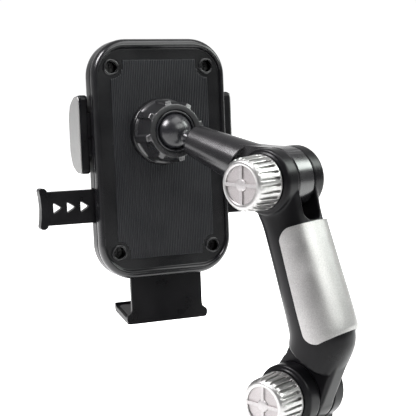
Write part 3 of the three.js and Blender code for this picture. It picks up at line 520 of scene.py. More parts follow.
def spline(rows, steps):
    """Rows on a smooth curve (Catmull-Rom) through the given rows, with some steps between each two."""
    result = []
    last = len(rows) - 1
    for k in range(last):
        p0, p1, p2, p3 = (rows[min(max(k + d, 0), last)] for d in (-1, 0, 1, 2))
        for i in range(steps):
            t = i / steps
            result.append(tuple(
                b + t / 2 * (c - a + t * (2 * a - 5 * b + 4 * c - d + t * (3 * b - a - 3 * c + d)))
                for a, b, c, d in zip(p0, p1, p2, p3)
            ))
    return result + [tuple(rows[-1])]


# The arm's oval section down its length: [place, half width, outer edge, inner edge, oval power].
ARM_ROWS = [
    (-5, 11.6, -12.6, 12.6, 3.4), (-11, 11.2, -12.3, 12.5, 3.2), (-17, 11, -12, 12, 2.9),
    (-24, 11.2, -12.3, 12.3, 2.6), (-40, 11.9, -13.1, 13, 2.3), (-56, 12.5, -13.8, 13.6, 2.2),
    (-60, 12.5, -13.9, 13.75, 2.2), (-65, 12.5, -14, 14.4, 2.2), (-69, 12.5, -13.9, 16.8, 2.2),
    (-72.5, 12.5, -13.2, 20, 2.2), (-76, 12.5, -11.6, 24, 2.2), (-80, 12.5, -8.1, 26, 2.2),
    (-84, 12.5, -3.8, 27, 2.2), (-88, 12.5, 1.2, 28, 2.2), (-92, 12.5, 5.4, 28, 2.2),
]


def arm_row(z):
    """The arm's row at a height, between two given ones."""
    for above, below in zip(ARM_ROWS, ARM_ROWS[1:]):
        if z >= below[0]:
            share = (above[0] - z) / (above[0] - below[0])
            return tuple(a + (b - a) * share for a, b in zip(above, below))
    return ARM_ROWS[-1]


def upper_arm():
    rings = []
    for z, half_x, outer, inner, power in spline(ARM_ROWS, 5):
        middle = (outer + inner) / 2
        rings.append([(a, middle + b, z) for a, b in superellipse(half_x, (inner - outer) / 2, power)])
    arm = cut(loft("upper_arm_look", rings), *chins())
    tongue = [(-8.6, -76), (-5.6, -82), (9.85, -99.5), ARM_FOOT, (29.5, -79.3), (21, -73), (0, -66)]
    add(arm, barrel("ears"))
    add(arm, bevelled(prism("tongue", "x", tongue, -TONGUE_HALF, TONGUE_HALF), 1.7, 4, 60))
    add(arm, tongue_disc(ARM_FOOT))
    cut(arm, *fork_cuts())
    cut(arm, *tongue_cuts(ARM_FOOT))
    moulded(arm, 7)
    place(arm, ARM, "arm", black, "black_plastic", "upper_arm")


PLATE_TOP, PLATE_BOTTOM, PLATE_CORNER = -21.3, -70.7, 5.0
PLATE_ARCH = 1.8  # rise of the sheet's lower edge at its middle
PLATE_QUARTER = 20.5  # length of sheet from its middle to one side edge
PLATE_SHARE = 0.995  # share of the arm's outer half that the sheet covers
PLATE_GAPS = (1.4, 0.3)  # the sheet's outer and inner face above the arm


def plate_point(share, z, gap):
    """A point above the arm's oval; share runs from -1 to 1 round its outer side."""
    half_x, outer, power = (arm_row(z)[k] for k in (1, 2, 4))
    turn = math.pi / 2 * share
    x = (half_x + gap) * math.copysign(abs(math.sin(turn)) ** (2 / power), turn)
    return x, (outer - gap) * math.cos(turn) ** (2 / power)


def plate_rows():
    """[height, covered share] down the sheet, closer together at its rounded corners."""
    drops = [PLATE_CORNER * (1 - math.cos(math.radians(9 * k))) for k in range(11)]
    near, far = PLATE_TOP - drops[-1], PLATE_BOTTOM + drops[-1]
    heights = [PLATE_TOP - drop for drop in drops]
    heights += [near + (far - near) * k / 24 for k in range(1, 24)]
    heights += [PLATE_BOTTOM + drop for drop in reversed(drops)]
    rows = []
    for z in heights:
        depth = min(PLATE_TOP - z, z - PLATE_BOTTOM, PLATE_CORNER)
        inset = PLATE_CORNER - math.sqrt(max(PLATE_CORNER ** 2 - (PLATE_CORNER - depth) ** 2, 0))
        rows.append((z, (1 - inset / PLATE_QUARTER) * PLATE_SHARE))
    return rows


def arm_plate():
    """A thin sheet wrapped round three sides of the arm, with rounded corners."""
    columns, rows = 72, plate_rows()
    points, faces = [], []
    for gap in PLATE_GAPS:
        for z, cover in rows:
            low = (PLATE_TOP - z) / (PLATE_TOP - PLATE_BOTTOM)
            for k in range(columns + 1):
                share = 2 * k / columns - 1
                x, y = plate_point(share * cover, z, gap)
                points.append((x, y, z + PLATE_ARCH * low * (1 - share ** 2)))
    stride, last = columns + 1, len(rows) - 1
    layer = stride * len(rows)
    for r in range(last):
        for a in range(r * stride, r * stride + columns):
            faces.append((a, a + 1, a + stride + 1, a + stride))
            faces.append((layer + a, layer + a + stride, layer + a + stride + 1, layer + a + 1))
    rim = [*range(columns), *(r * stride + columns for r in range(last))]
    rim += [*(last * stride + k for k in range(columns, 0, -1)), *(r * stride for r in range(last, 0, -1))]
    faces += [(a, b, layer + b, layer + a) for a, b in zip(rim, rim[1:] + rim[:1])]
    plate = new_object("arm_plate_look", points, faces)
    bevelled(plate, 0.35, 3, 50)
    place(plate, ARM, "arm", satin, "silver_metal", "arm_plate", sharp=45)


# ---------------------------------------------------------------- tube arm, ball stud and bolts

TUBE_END = TUBE_REACH - 14.6


def tube_arm():
    """A cone that ends in a flat tongue, with a web that tapers from the one to the other."""
    root, root_radius, end_radius, steps = 10, 11, 7.6, 20
    shares = [k / steps for k in range(steps)]
    side = [(root_radius + (end_radius - root_radius) * k, root + (TUBE_END - 1 - root) * k) for k in shares]
    cone = lathe("tube_arm_look", "y", [
        (0, root), *side, *arc((6.6, TUBE_END - 1), 1, 0, 90, 8), (3.4, TUBE_END), (3.2, TUBE_END - 0.6),
        (0, TUBE_END - 0.6),
    ], 128)
    cut(cone, *scoops())
    edge = [(0, EAR_RADIUS), (5, 13.1), (12, 11.1), (SCOOP_RADIUS, 8.9), (27, end_radius)]
    web = edge + [(y, -z) for y, z in reversed(edge)]
    add(cone, prism("web", "x", web, -TONGUE_HALF, TONGUE_HALF))
    add(cone, tongue_disc())
    cut(cone, *tongue_cuts())
    bevelled(cone, 0.3, 2, 40)
    place(cone, TUBE, "tube", black_tube, "black_plastic", "tube_arm", sharp=40)


def ball_stud():
    """A ball on a neck, with a small collar where the neck enters the tube."""
    radius, neck, steps = 8.5, 2.4, 40
    meet = math.pi - math.asin((neck + 0.5) / radius)
    profile = [(0, TUBE_REACH + radius)]
    for k in range(1, steps + 1):
        t = meet * k / steps
        profile.append((radius * math.sin(t), TUBE_REACH + radius * math.cos(t)))
    foot = profile[-1][1]
    profile += [
        (neck + 0.15, foot - 0.4), (neck, foot - 1), (neck, TUBE_END + 1), (neck + 0.1, TUBE_END + 0.5),
        (neck + 0.5, TUBE_END + 0.1), (neck + 0.5, TUBE_END - 0.5), (neck, TUBE_END - 0.6),
        (neck, TUBE_END - 9), (0, TUBE_END - 9),
    ]
    stud = lathe("ball_stud_look", "y", profile, 96)
    place(stud, TUBE, "tube", gloss, "gloss_black", "ball_stud", sharp=50)


def bolt(node, where, body):
    """Shank and a hexagon head with turned corners."""
    top, head_depth, tip = EAR_OUTER - 0.2, 3.0, -KNOB_REAR - 8.6
    head = prism(f"{node}_look", "x", circle(5.7, (0, 0), 6), top - head_depth, top)
    keep(head, lathe("dome", "x", [(0, 5), (6.2, 5), (6.2, top - 0.7), (4.9, top), (0, top)], 48))
    under = top - head_depth + 0.1
    add(head, lathe("shank", "x", [(0, tip), (2.6, tip), (3, tip + 0.4), (3, under), (0, under)], 32))
    place(head, where, body, steel, "steel", node, sharp=30)


# ---------------------------------------------------------------- knobs

FLUTES, FLUTE_STEPS = 26, 16
KNOB_RADIUS = 11.8
KNOB_FACE = KNOB_REAR + 13.0
KNOB_FLOOR = KNOB_REAR + 12.2  # where the spokes stand


def skirt_radius(along, turn):
    """The skirt's surface: ribs with pockets between them that end in a plain ring at the rear."""
    crest = KNOB_RADIUS - 0.055 * along - 0.9 * max((along - 10.6) / 1.8, 0) ** 2
    pocket = min(max((abs(math.cos(turn * FLUTES / 2)) - 0.82) / 0.1, 0), 1)
    fade = min(max(12.3 - along, 0), 1) * min(max((along - 0.9) / 0.3, 0), 1)
    return crest - (1.7 - 0.09 * along) * pocket * fade * fade * (3 - 2 * fade)


def knob_ring(along, flat=None, inset=0.0):
    """One ring of the cap, along from its rear edge: of a flat radius, or of the ribbed skirt."""
    points = []
    for turn in turns(FLUTES * FLUTE_STEPS):
        radius = (flat or skirt_radius(along, turn)) - inset
        points.append((-(KNOB_REAR + along), radius * math.cos(turn), radius * math.sin(turn)))
    return points


def knob_cap(name):
    """The hollow cap, from inside the bore over the skirt to the rim of the face."""
    bore = [(5.1, 9.2), (5.1, 0), (9.6, 0)]
    skirt = (0.3, 0.88, 0.98, 1.08, 1.2, 1.5, 3, 5, 7, 9, 10, 10.6, 11, 11.3, 11.6, 11.9, 12.2, 12.4)
    rim = [(10.05, 12.6), (9.85, 12.8), (9.6, 12.95), (9.35, 13), (8.3, 13), (8.15, 12.9), (8.1, 12.3)]
    rings = [knob_ring(along, flat) for flat, along in bore]
    rings += [knob_ring(0, inset=0.3), knob_ring(0.05, inset=0.12)]
    rings += [knob_ring(along) for along in skirt]
    rings += [knob_ring(along, flat) for flat, along in rim]
    return loft(name, rings)


def knob_star(name):
    """Four spokes and a hub."""
    half, bar, face = 8.3, 0.75, -KNOB_FACE
    corners = ((1, 1), (-1, 1), (-1, -1), (1, -1))
    star = prism(name, "x", [(a * half, b * bar) for a, b in corners], face, -KNOB_FLOOR)
    spoke = prism("spoke", "x", [(b * bar, a * half) for a, b in corners], face, -KNOB_FLOOR)
    hub = [(0, face - 0.05), (2.1, face - 0.05), (2.5, face + 0.1), (2.7, face + 0.4), (2.7, -KNOB_FLOOR)]
    add(star, spoke, lathe("hub", "x", hub, 48))
    return bevelled(star, 0.18, 2, 40)


def knob(side, where):
    """A ribbed cap and a four-spoke face with frosted inlays."""
    body = f"{side}_knob"
    cap = knob_cap(f"{body}_look")
    place(knob_star(f"{body}_star"), where, body, star_silver, "silver_metal", sharp=40)
    place(cap, where, body, polished, "silver_metal", body, sharp=40)
    front, rear = -KNOB_FLOOR - 0.15, -KNOB_FLOOR + 1
    inlay = lathe(f"{body}_inlay", "x", [(0, front), (8.05, front), (8.05, rear), (0, rear)], 64)
    place(inlay, where, body, frosted, "silver_metal", sharp=40)


# ---------------------------------------------------------------- ball joint


def ball_liner():
    lip = arc((9.1, -2.3), 0.75, 20, -160, 10)
    profile = [(8.75, 0.2), (10.7, 0.2), (10.7, -1.4), (9.95, -2.2), *lip, (8.35, -2.0), (8.65, -1.2)]
    liner = lathe("ball_liner_look", "y", profile, 96, around=True)
    place(liner, CRADLE, "ball_liner", gloss, "gloss_black", "ball_liner", sharp=50)


NUT_FRONT, NUT_BACK = -3.2, 12.2
LUGS, LUG_STEPS = 8, 30
LUG_PERIOD = 2 * math.pi / LUGS
LUG_TURN, LUG_HALF, LUG_WALL = (math.radians(a) for a in (10, 5.8, 1.2))
FACET_EDGE, FACET_DEPTH = math.radians(4), 0.55

# The nut from its rear edge over the cone and through the bore: [place, radius, a lug's height above it].
NUT_ROWS = [
    (NUT_BACK, 15.0, 0), (NUT_BACK - 0.15, 15.35, 0), (NUT_BACK - 0.5, 15.5, 0), (11.2, 15.5, 0),
    (10.8, 15.35, 0), (10.4, 15.05, 0.25), (9.8, 14.75, 0.5), (8.8, 14.35, 0.8), (7.2, 13.95, 1.05),
    (5, 13.6, 1.3), (2, 13.25, 1.5), (-1, 12.95, 1.6), (-1.6, 12.9, 1.6), (-2.0, 12.87, 1.45),
    (-2.3, 12.82, 1.0), (-2.45, 12.78, 0.4), (-2.7, 12.7, 0.1), (-3.0, 12.5, 0), (NUT_FRONT, 12.2, 0),
    (NUT_FRONT, 10.15, 0), (-3.1, 9.98, 0), (-2.8, 9.92, 0), (-1.2, 11.15, 0), (0.3, 11.25, 0),
    (NUT_BACK, 11.25, 0),
]


def lug(turn):
    """1 on a lug, 0 between lugs, with soft walls."""
    off = abs((turn - LUG_TURN) % LUG_PERIOD - LUG_PERIOD / 2)
    t = min(max((LUG_HALF + LUG_WALL - off) / LUG_WALL, 0), 1)
    return t * t * (3 - 2 * t)


def facet(turn):
    """Radius factor that flattens the cone between two lugs."""
    off = (turn - LUG_TURN) % LUG_PERIOD
    off = min(off, LUG_PERIOD - off)
    return 1 - FACET_DEPTH * (1 - math.cos(LUG_PERIOD / 2 - FACET_EDGE) / math.cos(off))


def collar_nut():
    """Faceted cone on a flange, with lugs that run over the front edge."""
    rings = []
    for along, cone, height in NUT_ROWS:
        ring = []
        for turn in turns(LUGS * LUG_STEPS):
            on = lug(turn)
            flat = facet(turn) if height > 0.05 else 1
            r = cone * (flat * (1 - on) + on) + height * on
            ring.append((r * math.sin(turn), along, r * math.cos(turn)))
        rings.append(ring)
    nut = loft("collar_nut_look", rings, around=True)
    place(nut, CRADLE, "collar_nut", black_gloss, "black_plastic", "collar_nut", sharp=60)


# ---------------------------------------------------------------- cradle covers

BODY_HALF_X, BODY_HALF_Z, BODY_CORNER = 33.8, 57.5, 17.5
FIELD_HALF_X, FIELD_HALF_Z = 24.7, 47.6
SCREW_X, SCREW_Z = 24.25, 44.2
SCREWS = [(a * SCREW_X, b * SCREW_Z) for a, b in ((-1, 1), (1, 1), (-1, -1), (1, -1))]


def body_ring(share, y, inset=0.0, inner=(30.9, 52.9, 13.2)):
    """The body's outline, moved by a share of the way to an inner outline, then inset."""
    outer = (BODY_HALF_X, BODY_HALF_Z, BODY_CORNER)
    half_x, half_z, radius = (a + (b - a) * share for a, b in zip(outer, inner))
    outline = rounded_rectangle(half_x - inset, half_z - inset, radius - inset, 14)
    return [(x, y, z) for x, z in outline]


def screw_boss(centre):
    """The raised ring round a screw's hole, and the post under it."""
    ring = [(2.8, 0.3), (2.8, -0.35), (2.95, -0.6), (3.3, -0.7), (3.7, -0.62), (3.95, -0.35), (4.0, 0.3)]
    post = [(2.8, 1), (2.8, 5.2), (1.4, 5.2), (1.4, 6.2), (4.3, 6.2), (4.3, 1)]
    return [
        lathe("boss", "y", ring, 48, centre, around=True),
        lathe("post", "y", post, 40, centre, around=True),
    ]


def ball_socket():
    """The flare under the collar nut, and the neck with the ball's pocket in its end."""
    flare = [
        (10, 0.4), (16.3, 0.4), (16.25, -0.8), (15.9, -2.2), (15.6, -2.9), (15.2, -3.2), (14.6, -3.3),
        (10, -3.3),
    ]
    neck = [(0, 0.4), (11, 0.4), (11, -15.2), (10.8, -15.5), (10.5, -15.5), (10.4, -15)]
    pocket = arc((0, -PANEL), 10.5, 6, 90, 12)
    return [
        lathe("flare", "y", flare, 96, (0, BODY_DROP), around=True),
        lathe("socket", "y", neck + pocket, 96, (0, BODY_DROP)),
    ]


def rear_cover():
    """The rear shell: an open edge, a rolled rim and a flat panel with its bosses, socket and pip."""
    edge = [(2.2, 2.2), (3.2, 2.2), (3.2, 0.5), (3.05, 0.15), (2.7, 0)]
    rim = [
        (0, 1.9), (0.02, 1.2), (0.06, 0.5), (0.13, -0.2), (0.22, -0.8), (0.32, -1.27), (0.43, -1.64),
        (0.55, -1.88), (0.67, -1.98), (0.78, -1.92), (0.87, -1.68), (0.94, -1.25), (0.98, -0.75),
        (1.01, -0.3), (1.05, -0.08), (1.12, 0),
    ]
    rings = [body_ring(0, y, inset) for y, inset in edge] + [body_ring(share, y) for share, y in rim]
    shell = loft("rear_cover_look", rings)
    cut(shell, *[lathe("hole", "y", [(2.8, -5), (2.8, 5)], 40, centre) for centre in SCREWS])
    shells = [shell]
    for centre in SCREWS:
        shells += screw_boss(centre)
    shells += ball_socket()
    pip = [(0, 0.2), (0.75, 0.2), (0.7, -0.12), (0.45, -0.28), (0, -0.32)]
    shells.append(lathe("pip", "y", pip, 20, (-24.6, 8.3)))
    cover = joined("rear_cover_look", shells)
    place(cover, BODY, "cradle", black_cover, "black_plastic", "rear_cover", sharp=50)


def ribs():
    """Fine upright ribs over the panel, stopping short of the screws."""
    count, notch = 56, 5.4
    pitch = 2 * FIELD_HALF_X / count
    section = [
        (-0.5, 0.1), (-0.46, -0.28), (-0.3, -0.46), (0, -0.52), (0.3, -0.46), (0.46, -0.28), (0.5, 0.1),
    ]
    shells = []
    for k in range(count):
        x = -FIELD_HALF_X + pitch * (k + 0.5)
        top = FIELD_HALF_Z
        across = SCREW_X - abs(x)
        if across < notch:
            top = min(top, SCREW_Z - math.sqrt(notch ** 2 - across ** 2))
        rows = mirrored([(top - 0.7, 1), (top - 0.25, 0.75), (top, 0.1)])
        shells.append(loft("rib", [
            [(x + a * pitch * 0.96, b * size if b < 0 else b, z) for a, b in section] for z, size in rows
        ]))
    place(joined("panel_ribs", shells), BODY, "cradle", rib_plastic, "black_plastic", sharp=50)


def front_cover():
    """The front shell: a tray with ways for the foot, the levers and the jaws, and its screw posts."""
    start = 3.6
    profile = [
        (10.2, 2.2), (start, 2.2), (start, 0.55), (start + 0.12, 0.2), (start + 0.45, 0), (10.2, 0),
        (11.2, 0.25), (11.9, 0.75), (12.3, 1.6), (12.4, 2.6), (12.4, 4.6), (11.8, 4.7),
    ]
    cover = loft("front_cover_look", [body_ring(0, y, inset) for y, inset in profile])
    cuts = [block("foot_way", (-18.8, 18.8), (start - 1, 5), (-60, -50))]
    for side in (-1, 1):
        wall = sorted((side * 30, side * 36))
        cuts.append(block("lever_way", wall, (4.8, 9.6), (-29.7, -12.7)))
        cuts.append(block("jaw_way", wall, (4.8, 9.6), (2.5, 23.5)))
    cut(cover, *cuts)
    post = [(0, 10.5), (3.2, 10.5), (3.2, 6.6), (1.1, 6.6), (1.1, 9.8), (0, 9.8)]
    cover = joined("front_cover_look", [cover] + [lathe("post", "y", post, 32, centre) for centre in SCREWS])
    place(cover, BODY, "cradle", black, "black_plastic", "front_cover", sharp=50)


def front_pad():
    """Soft pad with low cross ribs that the phone's back rests on."""
    face, rings = 12.9, []
    for inset, y in ((0, 11.95), (0, 12.6), (0.12, 12.8), (0.4, 12.95), (0.9, 13.0)):
        outline = rounded_rectangle(28.8 - inset, 49.8 - inset, 11.6 - inset, 14)
        rings.append([(x, y, z) for x, z in outline])
    shells = [loft("pad", rings)]
    section = [(-1.1, 0), (-0.9, 0.35), (-0.5, 0.55), (0, 0.6), (0.5, 0.55), (0.9, 0.35), (1.1, 0)]
    for k in range(-11, 12):
        z = k * 4.0
        half = 24.5 - max(abs(z) - 40, 0) * 1.4
        rows = mirrored([(half - 1.2, 1), (half - 0.6, 0.8), (half, 0.2)])
        shells.append(loft("rib", [
            [(x, face + rise * size, z + a * size) for a, rise in section] for x, size in rows
        ]))
    place(joined("front_pad_look", shells), BODY, "cradle", rubber, "grip_rubber", "front_pad", sharp=50)


# ---------------------------------------------------------------- jaws and levers

LAYER_A, LAYER_B = (5.1, 7.0), (7.4, 9.3)  # the two sliders' places under the panel
BOTH = (LAYER_A[0], LAYER_B[1])
JAW_INNER, JAW_OUTER = 34.9, 38.8
LEVER_Z, LEVER_HALF = -21.2, 8.0
LEVER_TOP, LEVER_BOTTOM = LEVER_Z + LEVER_HALF, LEVER_Z - LEVER_HALF
PINION_Z, PITCH_RADIUS, PINION_TEETH = 2.0, 6.0, 15
TOOTH_PITCH = 2 * math.pi * PITCH_RADIUS / PINION_TEETH


def slab(name, side, near, far, outline):
    """A plate across X on one side of the cradle."""
    return prism(name, "x", outline, *sorted((side * near, side * far)))


def jaw_outline(inset=0.0):
    """The jaw seen from the side: [depth, height]."""
    front, low, high = 24.5 - inset, inset - 5.9, 31.7 - inset
    points = [
        (5.1 + inset, low), (13, low), (20.6, -2.4 + inset), (front, 4.2), (front, 21.6),
        (20.6, 28.2 - inset), (13, high), (5.1 + inset, high),
    ]
    return filleted(points, 2.6, 6)


def jaw_trim(side, name):
    trim = slab(f"{name}_trim_look", side, JAW_OUTER + 0.05, JAW_OUTER + 0.75, jaw_outline(0.45))
    bevelled(trim, 0.3, 3, 40)
    place(trim, BODY, name, trim_silver, "silver_trim", f"{name}_trim", sharp=40)


def jaw_pad(side, name):
    """The jaw's soft pad with short cross ribs."""
    outline = filleted([(14.2, -1), (20.6, 1), (23.2, 5.4), (23.2, 20.4), (20.6, 24.8), (14.2, 27)], 1.5)
    near, half = JAW_INNER - 0.75, 0.55
    pads = [slab("pad", side, near, JAW_INNER - 0.05, outline)]
    for k in range(-5, 6):
        z = 13 + k * 2.1
        inset = 1.2 + max(abs(k) - 3, 0) * 0.9
        rib = [(near - 0.35, 15.4), (near - 0.35, 23 - inset), (near + 0.1, 23.4 - inset), (near + 0.1, 15)]
        pads.append(prism("rib", "z", [(side * x, y) for x, y in rib], z - half, z + half))
    pad = joined(f"{name}_pad_look", pads)
    place(pad, BODY, name, rubber, "grip_rubber", f"{name}_pad", sharp=30)


def jaw(side, name):
    """The jaw's plate and arm, which belong to its slider; the trim and the pad are placed here."""
    plate = slab("jaw", side, JAW_INNER, JAW_OUTER, jaw_outline())
    bevelled(plate, 0.9, 3, 40)
    arm = block("arm", sorted((side * 32, side * (JAW_INNER + 0.5))), BOTH, (3, 23))
    bevelled(arm, 0.4, 2, 40)
    jaw_trim(side, name)
    jaw_pad(side, name)
    return [plate, arm]


def lever(side):
    """Squeeze lever: a bar with a wider, thicker thumb end and three rounded arrow holes."""
    reach_in, reach_out = 24, 57.2
    bar = [
        (reach_in, LEVER_BOTTOM), (reach_out, LEVER_BOTTOM), (reach_out, LEVER_TOP), (reach_in, LEVER_TOP),
    ]
    piece = prism("lever", "y", [(side * x, z) for x, z in bar], *BOTH)
    arrows = []
    for tip in (36.3, 42.9, 49.5):
        corners = [(tip, LEVER_Z), (tip + 4.4, LEVER_Z + 2.7), (tip + 4.4, LEVER_Z - 2.7)]
        outline = [(side * x, z) for x, z in filleted(corners, 0.8, 4)]
        arrows.append(prism("arrow", "y", outline, 0, 20))
    cut(piece, *arrows)
    half = [
        (59.9, 5), (60.5, LEVER_HALF + 0.7), (59.9, LEVER_HALF + 1.7), (58.0, LEVER_HALF + 1.8),
        (56.9, LEVER_HALF + 0.9), (56.4, LEVER_HALF - 0.6),
    ]
    end = [(x, LEVER_Z - z) for x, z in reversed(half)] + [(59.6, LEVER_Z)]
    end += [(x, LEVER_Z + z) for x, z in half]
    outline = [(side * x, z) for x, z in filleted(end, 0.7, 3)]
    thumb = prism("thumb", "y", outline, BOTH[0] - 0.1, BOTH[1] + 1.6)
    bevelled(piece, 0.35, 2, 50)
    bevelled(thumb, 0.5, 3, 50)
    return [piece, thumb]


def teeth(layer, places, pitch_line, direction):
    """Rack teeth at places along X that point up or down."""
    root, shoulder, tip = (pitch_line + direction * rise for rise in (-1.2, -0.9, 0.6))
    shells = []
    for x in places:
        outline = [
            (x - 0.85, root), (x + 0.85, root), (x + 0.85, shoulder), (x + 0.28, tip), (x - 0.28, tip),
            (x - 0.85, shoulder),
        ]
        shells.append(prism("tooth", "y", outline, *layer))
    return shells


def sliders():
    """Each slider: a strip with its jaw on one side, and a rack and a web with its lever on the other."""
    left = [
        block("strip", (-32.5, -8), LAYER_A, (3, 23)), block("rack", (-15, 31), LAYER_A, (9, 14)),
        block("web", (24, 31), LAYER_A, (LEVER_BOTTOM, 14)), *jaw(-1, "left_jaw"), *lever(1),
        *teeth(LAYER_A, [(k - 0.5) * TOOTH_PITCH for k in range(9)], PINION_Z + PITCH_RADIUS, -1),
    ]
    left = joined("left_slider_look", left)
    place(left, BODY, "left_jaw", black, "black_plastic", "left_slider", sharp=35)
    right = [
        block("strip", (8, 32.5), LAYER_B, (3, 23)), block("link", (8, 15), LAYER_B, (-10, 23)),
        block("rack", (-31, 15), LAYER_B, (-10, -5)), block("web", (-31, -24), LAYER_B, (LEVER_BOTTOM, -5)),
        *jaw(1, "right_jaw"), *lever(-1),
        *teeth(LAYER_B, [(1 - k) * TOOTH_PITCH for k in range(9)], PINION_Z - PITCH_RADIUS, 1),
    ]
    right = joined("right_slider_look", right)
    place(right, BODY, "right_jaw", black, "black_plastic", "right_slider", sharp=35)


def tube_along(name, path, radius):
    """A round wire along a path of points."""
    sides = 8
    rings = []
    for k, point in enumerate(path):
        ahead = Vector(path[min(k + 1, len(path) - 1)]) - Vector(path[max(k - 1, 0)])
        turn = ahead.to_track_quat("Z", "Y")
        rings.append([
            tuple(Vector(point) + turn @ Vector((radius * math.cos(t), radius * math.sin(t), 0)))
            for t in turns(sides)
        ])
    return loft(name, rings)


def return_spring():
    """A coil along X between the two levers, built at one fixed length; on the mount it shortens as the jaws open.
    """
    coils, steps, half, radius = 11, 18, 23.3, 1.7
    middle = sum(BOTH) / 2
    path = []
    for k in range(coils * steps + 1):
        t = k / (coils * steps)
        a = 2 * math.pi * coils * t
        path.append((half * (2 * t - 1), middle + radius * math.cos(a), LEVER_Z + radius * math.sin(a)))
    spring = tube_along("return_spring_look", path, 0.32)
    place(spring, BODY, "cradle", steel, "steel", "return_spring")
    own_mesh(spring)


# ---------------------------------------------------------------- foot


def foot():
    """The sliding plate with its ledge, and the soft pad that lies on the sloping ledge."""
    side = [(18.3, -34), (18.3, -73.2), (18.7, -74.6), (20.2, -75.4), (21, -76.4), (21, -78.6), (20, -80)]
    outline = side + [(-x, z) for x, z in reversed(side)]
    plate = prism("foot_look", "y", filleted(outline, 0.9, 4), 2.6, 4.7)
    near, far = (4.5, -77.2), (21.8, -73.6)  # the ledge's upper face
    ledge = [
        (2.8, -80), (22.9, -76.2), (23.6, -75.3), (23.6, -72.4), (23.1, -71.8), (22.3, -71.9), far, near,
        (2.8, -77),
    ]
    add(plate, prism("ledge", "x", filleted(ledge, 0.6, 3), -20.6, 20.6))
    bevelled(plate, 0.4, 3, 40)
    place(plate, BODY, "foot", black, "black_plastic", "foot", sharp=40)
    slope = (far[1] - 0.2 - near[1]) / (far[0] - near[0])  # the pad sinks a little into the ledge
    half = 18.9
    outline = filleted([(6, -half), (21, -half), (21, half), (6, half)], 1.5, 4)
    rings = []
    for rise, inset in ((0.1, 0), (0.65, 0), (0.85, 0.25)):
        rings.append([
            (x * (1 - inset / 19), y, near[1] + slope * (y - near[0]) + rise) for y, x in outline
        ])
    pad = loft("foot_pad_look", rings)
    place(pad, BODY, "foot", rubber_grey, "grip_rubber", "foot_pad", sharp=40)


# ---------------------------------------------------------------- base


def suction_pad():
    pad = lathe("suction_pad_look", "z", [
        (0, 0), (40.2, 0), (40.8, 0.3), (41, 0.8), (40.8, 1.3), (40, 2.2), (39.5, 3), (38, 3.2), (0, 3.2),
    ], 160)
    tab = filleted([(-8, 38), (8, 38), (7, 48.5), (4, 50), (-4, 50), (-7, 48.5)], 2.5)
    add(pad, prism("tab", "z", tab, 0.4, 1.8))
    bevelled(pad, 0.25, 2, 50)
    place(pad, ROW, "base", rubber, "suction_rubber", "suction_pad", sharp=40)


def base_housing():
    """The domed cover over the suction pad, with the lock lever's slot."""
    rim = 3.4
    dome = [
        (0, 17.4), (17, 17), (28, 14.2), (37.2, 8.4), (37.2, rim), (39.8, rim), (40.2, rim + 0.4),
        (40.2, 6.2), (39.9, 6.5), (39.9, 6.9), (40.2, 7.2), (40.1, 8.6), (39.5, 10.6), (38.2, 12.3), (36, 14),
        (33, 15.7), (30, 17.2), (27, 18.6), (24, 19.8), (21.4, 20.8), (19.8, 21.5), (18.8, 22.3),
        (18.3, 23.1), (17.8, 23.5), (17, 23.6), (0, 23.6),
    ]
    housing = lathe("base_housing_look", "z", dome, 160)
    slot = block("slot", (-8.7, 8.7), (-50, -17), (6.6, 40))
    cut(housing, slot, lathe("bore", "z", [(2.6, 10), (2.6, 30)], 32))
    bevelled(housing, 0.4, 3, 55)
    place(housing, ROW, "base", black, "black_plastic", "base_housing", sharp=40)


def turret():
    """The swivel's flange with the lower fork on top, in the lower joint's frame."""
    low = -31
    cheeks = [(-12.5, low + 7), (12.5, low + 7), (9.5, low + 12), (8.2, low + 17), (9.3, 0), (-9.3, 0),
              (-8.2, low + 17), (-9.5, low + 12)]
    flange = lathe("base_turret_look", "z", [
        (0, low), (16.9, low), (17.4, low + 0.3), (17.5, low + 0.9), (17.5, low + 3.6), (17.1, low + 4.6),
        (16, low + 5.6), (14.4, low + 6.8), (13.5, low + 8.4), (13.2, low + 9.8), (0, low + 9.8),
    ], 128)
    add(flange, barrel("ears"))
    add(flange, bevelled(prism("cheeks", "x", cheeks, -EAR_OUTER, EAR_OUTER), 0.9, 3, 32))
    cut(flange, *fork_cuts())
    washer_seat = lathe("seat", "z", [(5.3, low + 7.1), (5.3, 0)], 48)
    cut(flange, washer_seat, lathe("hole", "z", [(2.6, low - 1), (2.6, 0)], 32))
    moulded(flange, 3)
    place(flange, LOWER, "turret", black, "black_plastic", "base_turret")


def grip_rib(y, z):
    """A low rib across the lock lever's handle."""
    rows = mirrored([(5, 1), (5.6, 0.9), (6.2, 0.2)])
    section = [(-0.5, -1.0), (-0.45, 0.1), (-0.2, 0.35), (0.2, 0.35), (0.45, 0.1), (0.5, -1.0)]
    return loft("grip", [[(x, y + a * size, z + b * size) for a, b in section] for x, size in rows])


def lock_lever():
    pivot, half, handle_half = (-27, 13), 4.7, 8.2
    hub = lathe("lock_lever_look", "x", [(5.2, -half), (5.2, half)], 64, pivot)
    neck = [(-26, 18.1), (-34, 16.6), (-34, 11), (-30, 9.2)]
    handle = [
        (-32.5, 16.6), (-39, 15.2), (-44, 12.4), (-49, 10.6), (-55, 9.9), (-58.6, 11.4), (-59.2, 10.2),
        (-56.6, 7.4), (-52, 6.6), (-46.5, 7), (-42.5, 9), (-38, 11), (-32.5, 11.4),
    ]
    add(hub, prism("neck", "x", neck, -half, half))
    add(hub, prism("handle", "x", filleted(handle, 1.2, 3), -handle_half, handle_half))
    cut(hub, lathe("bore", "x", [(1.66, -10), (1.66, 10)], 32, pivot))
    bevelled(hub, 0.6, 3, 40)
    grips = [grip_rib(-46.5 - 1.7 * k, 10.9 - 0.3 * k) for k in range(6)]
    whole = joined("lock_lever_look", [hub, *grips])
    place(whole, ROW, "lock_lever", black, "black_plastic", "lock_lever", sharp=40)


# ---------------------------------------------------------------- stage, lights and camera

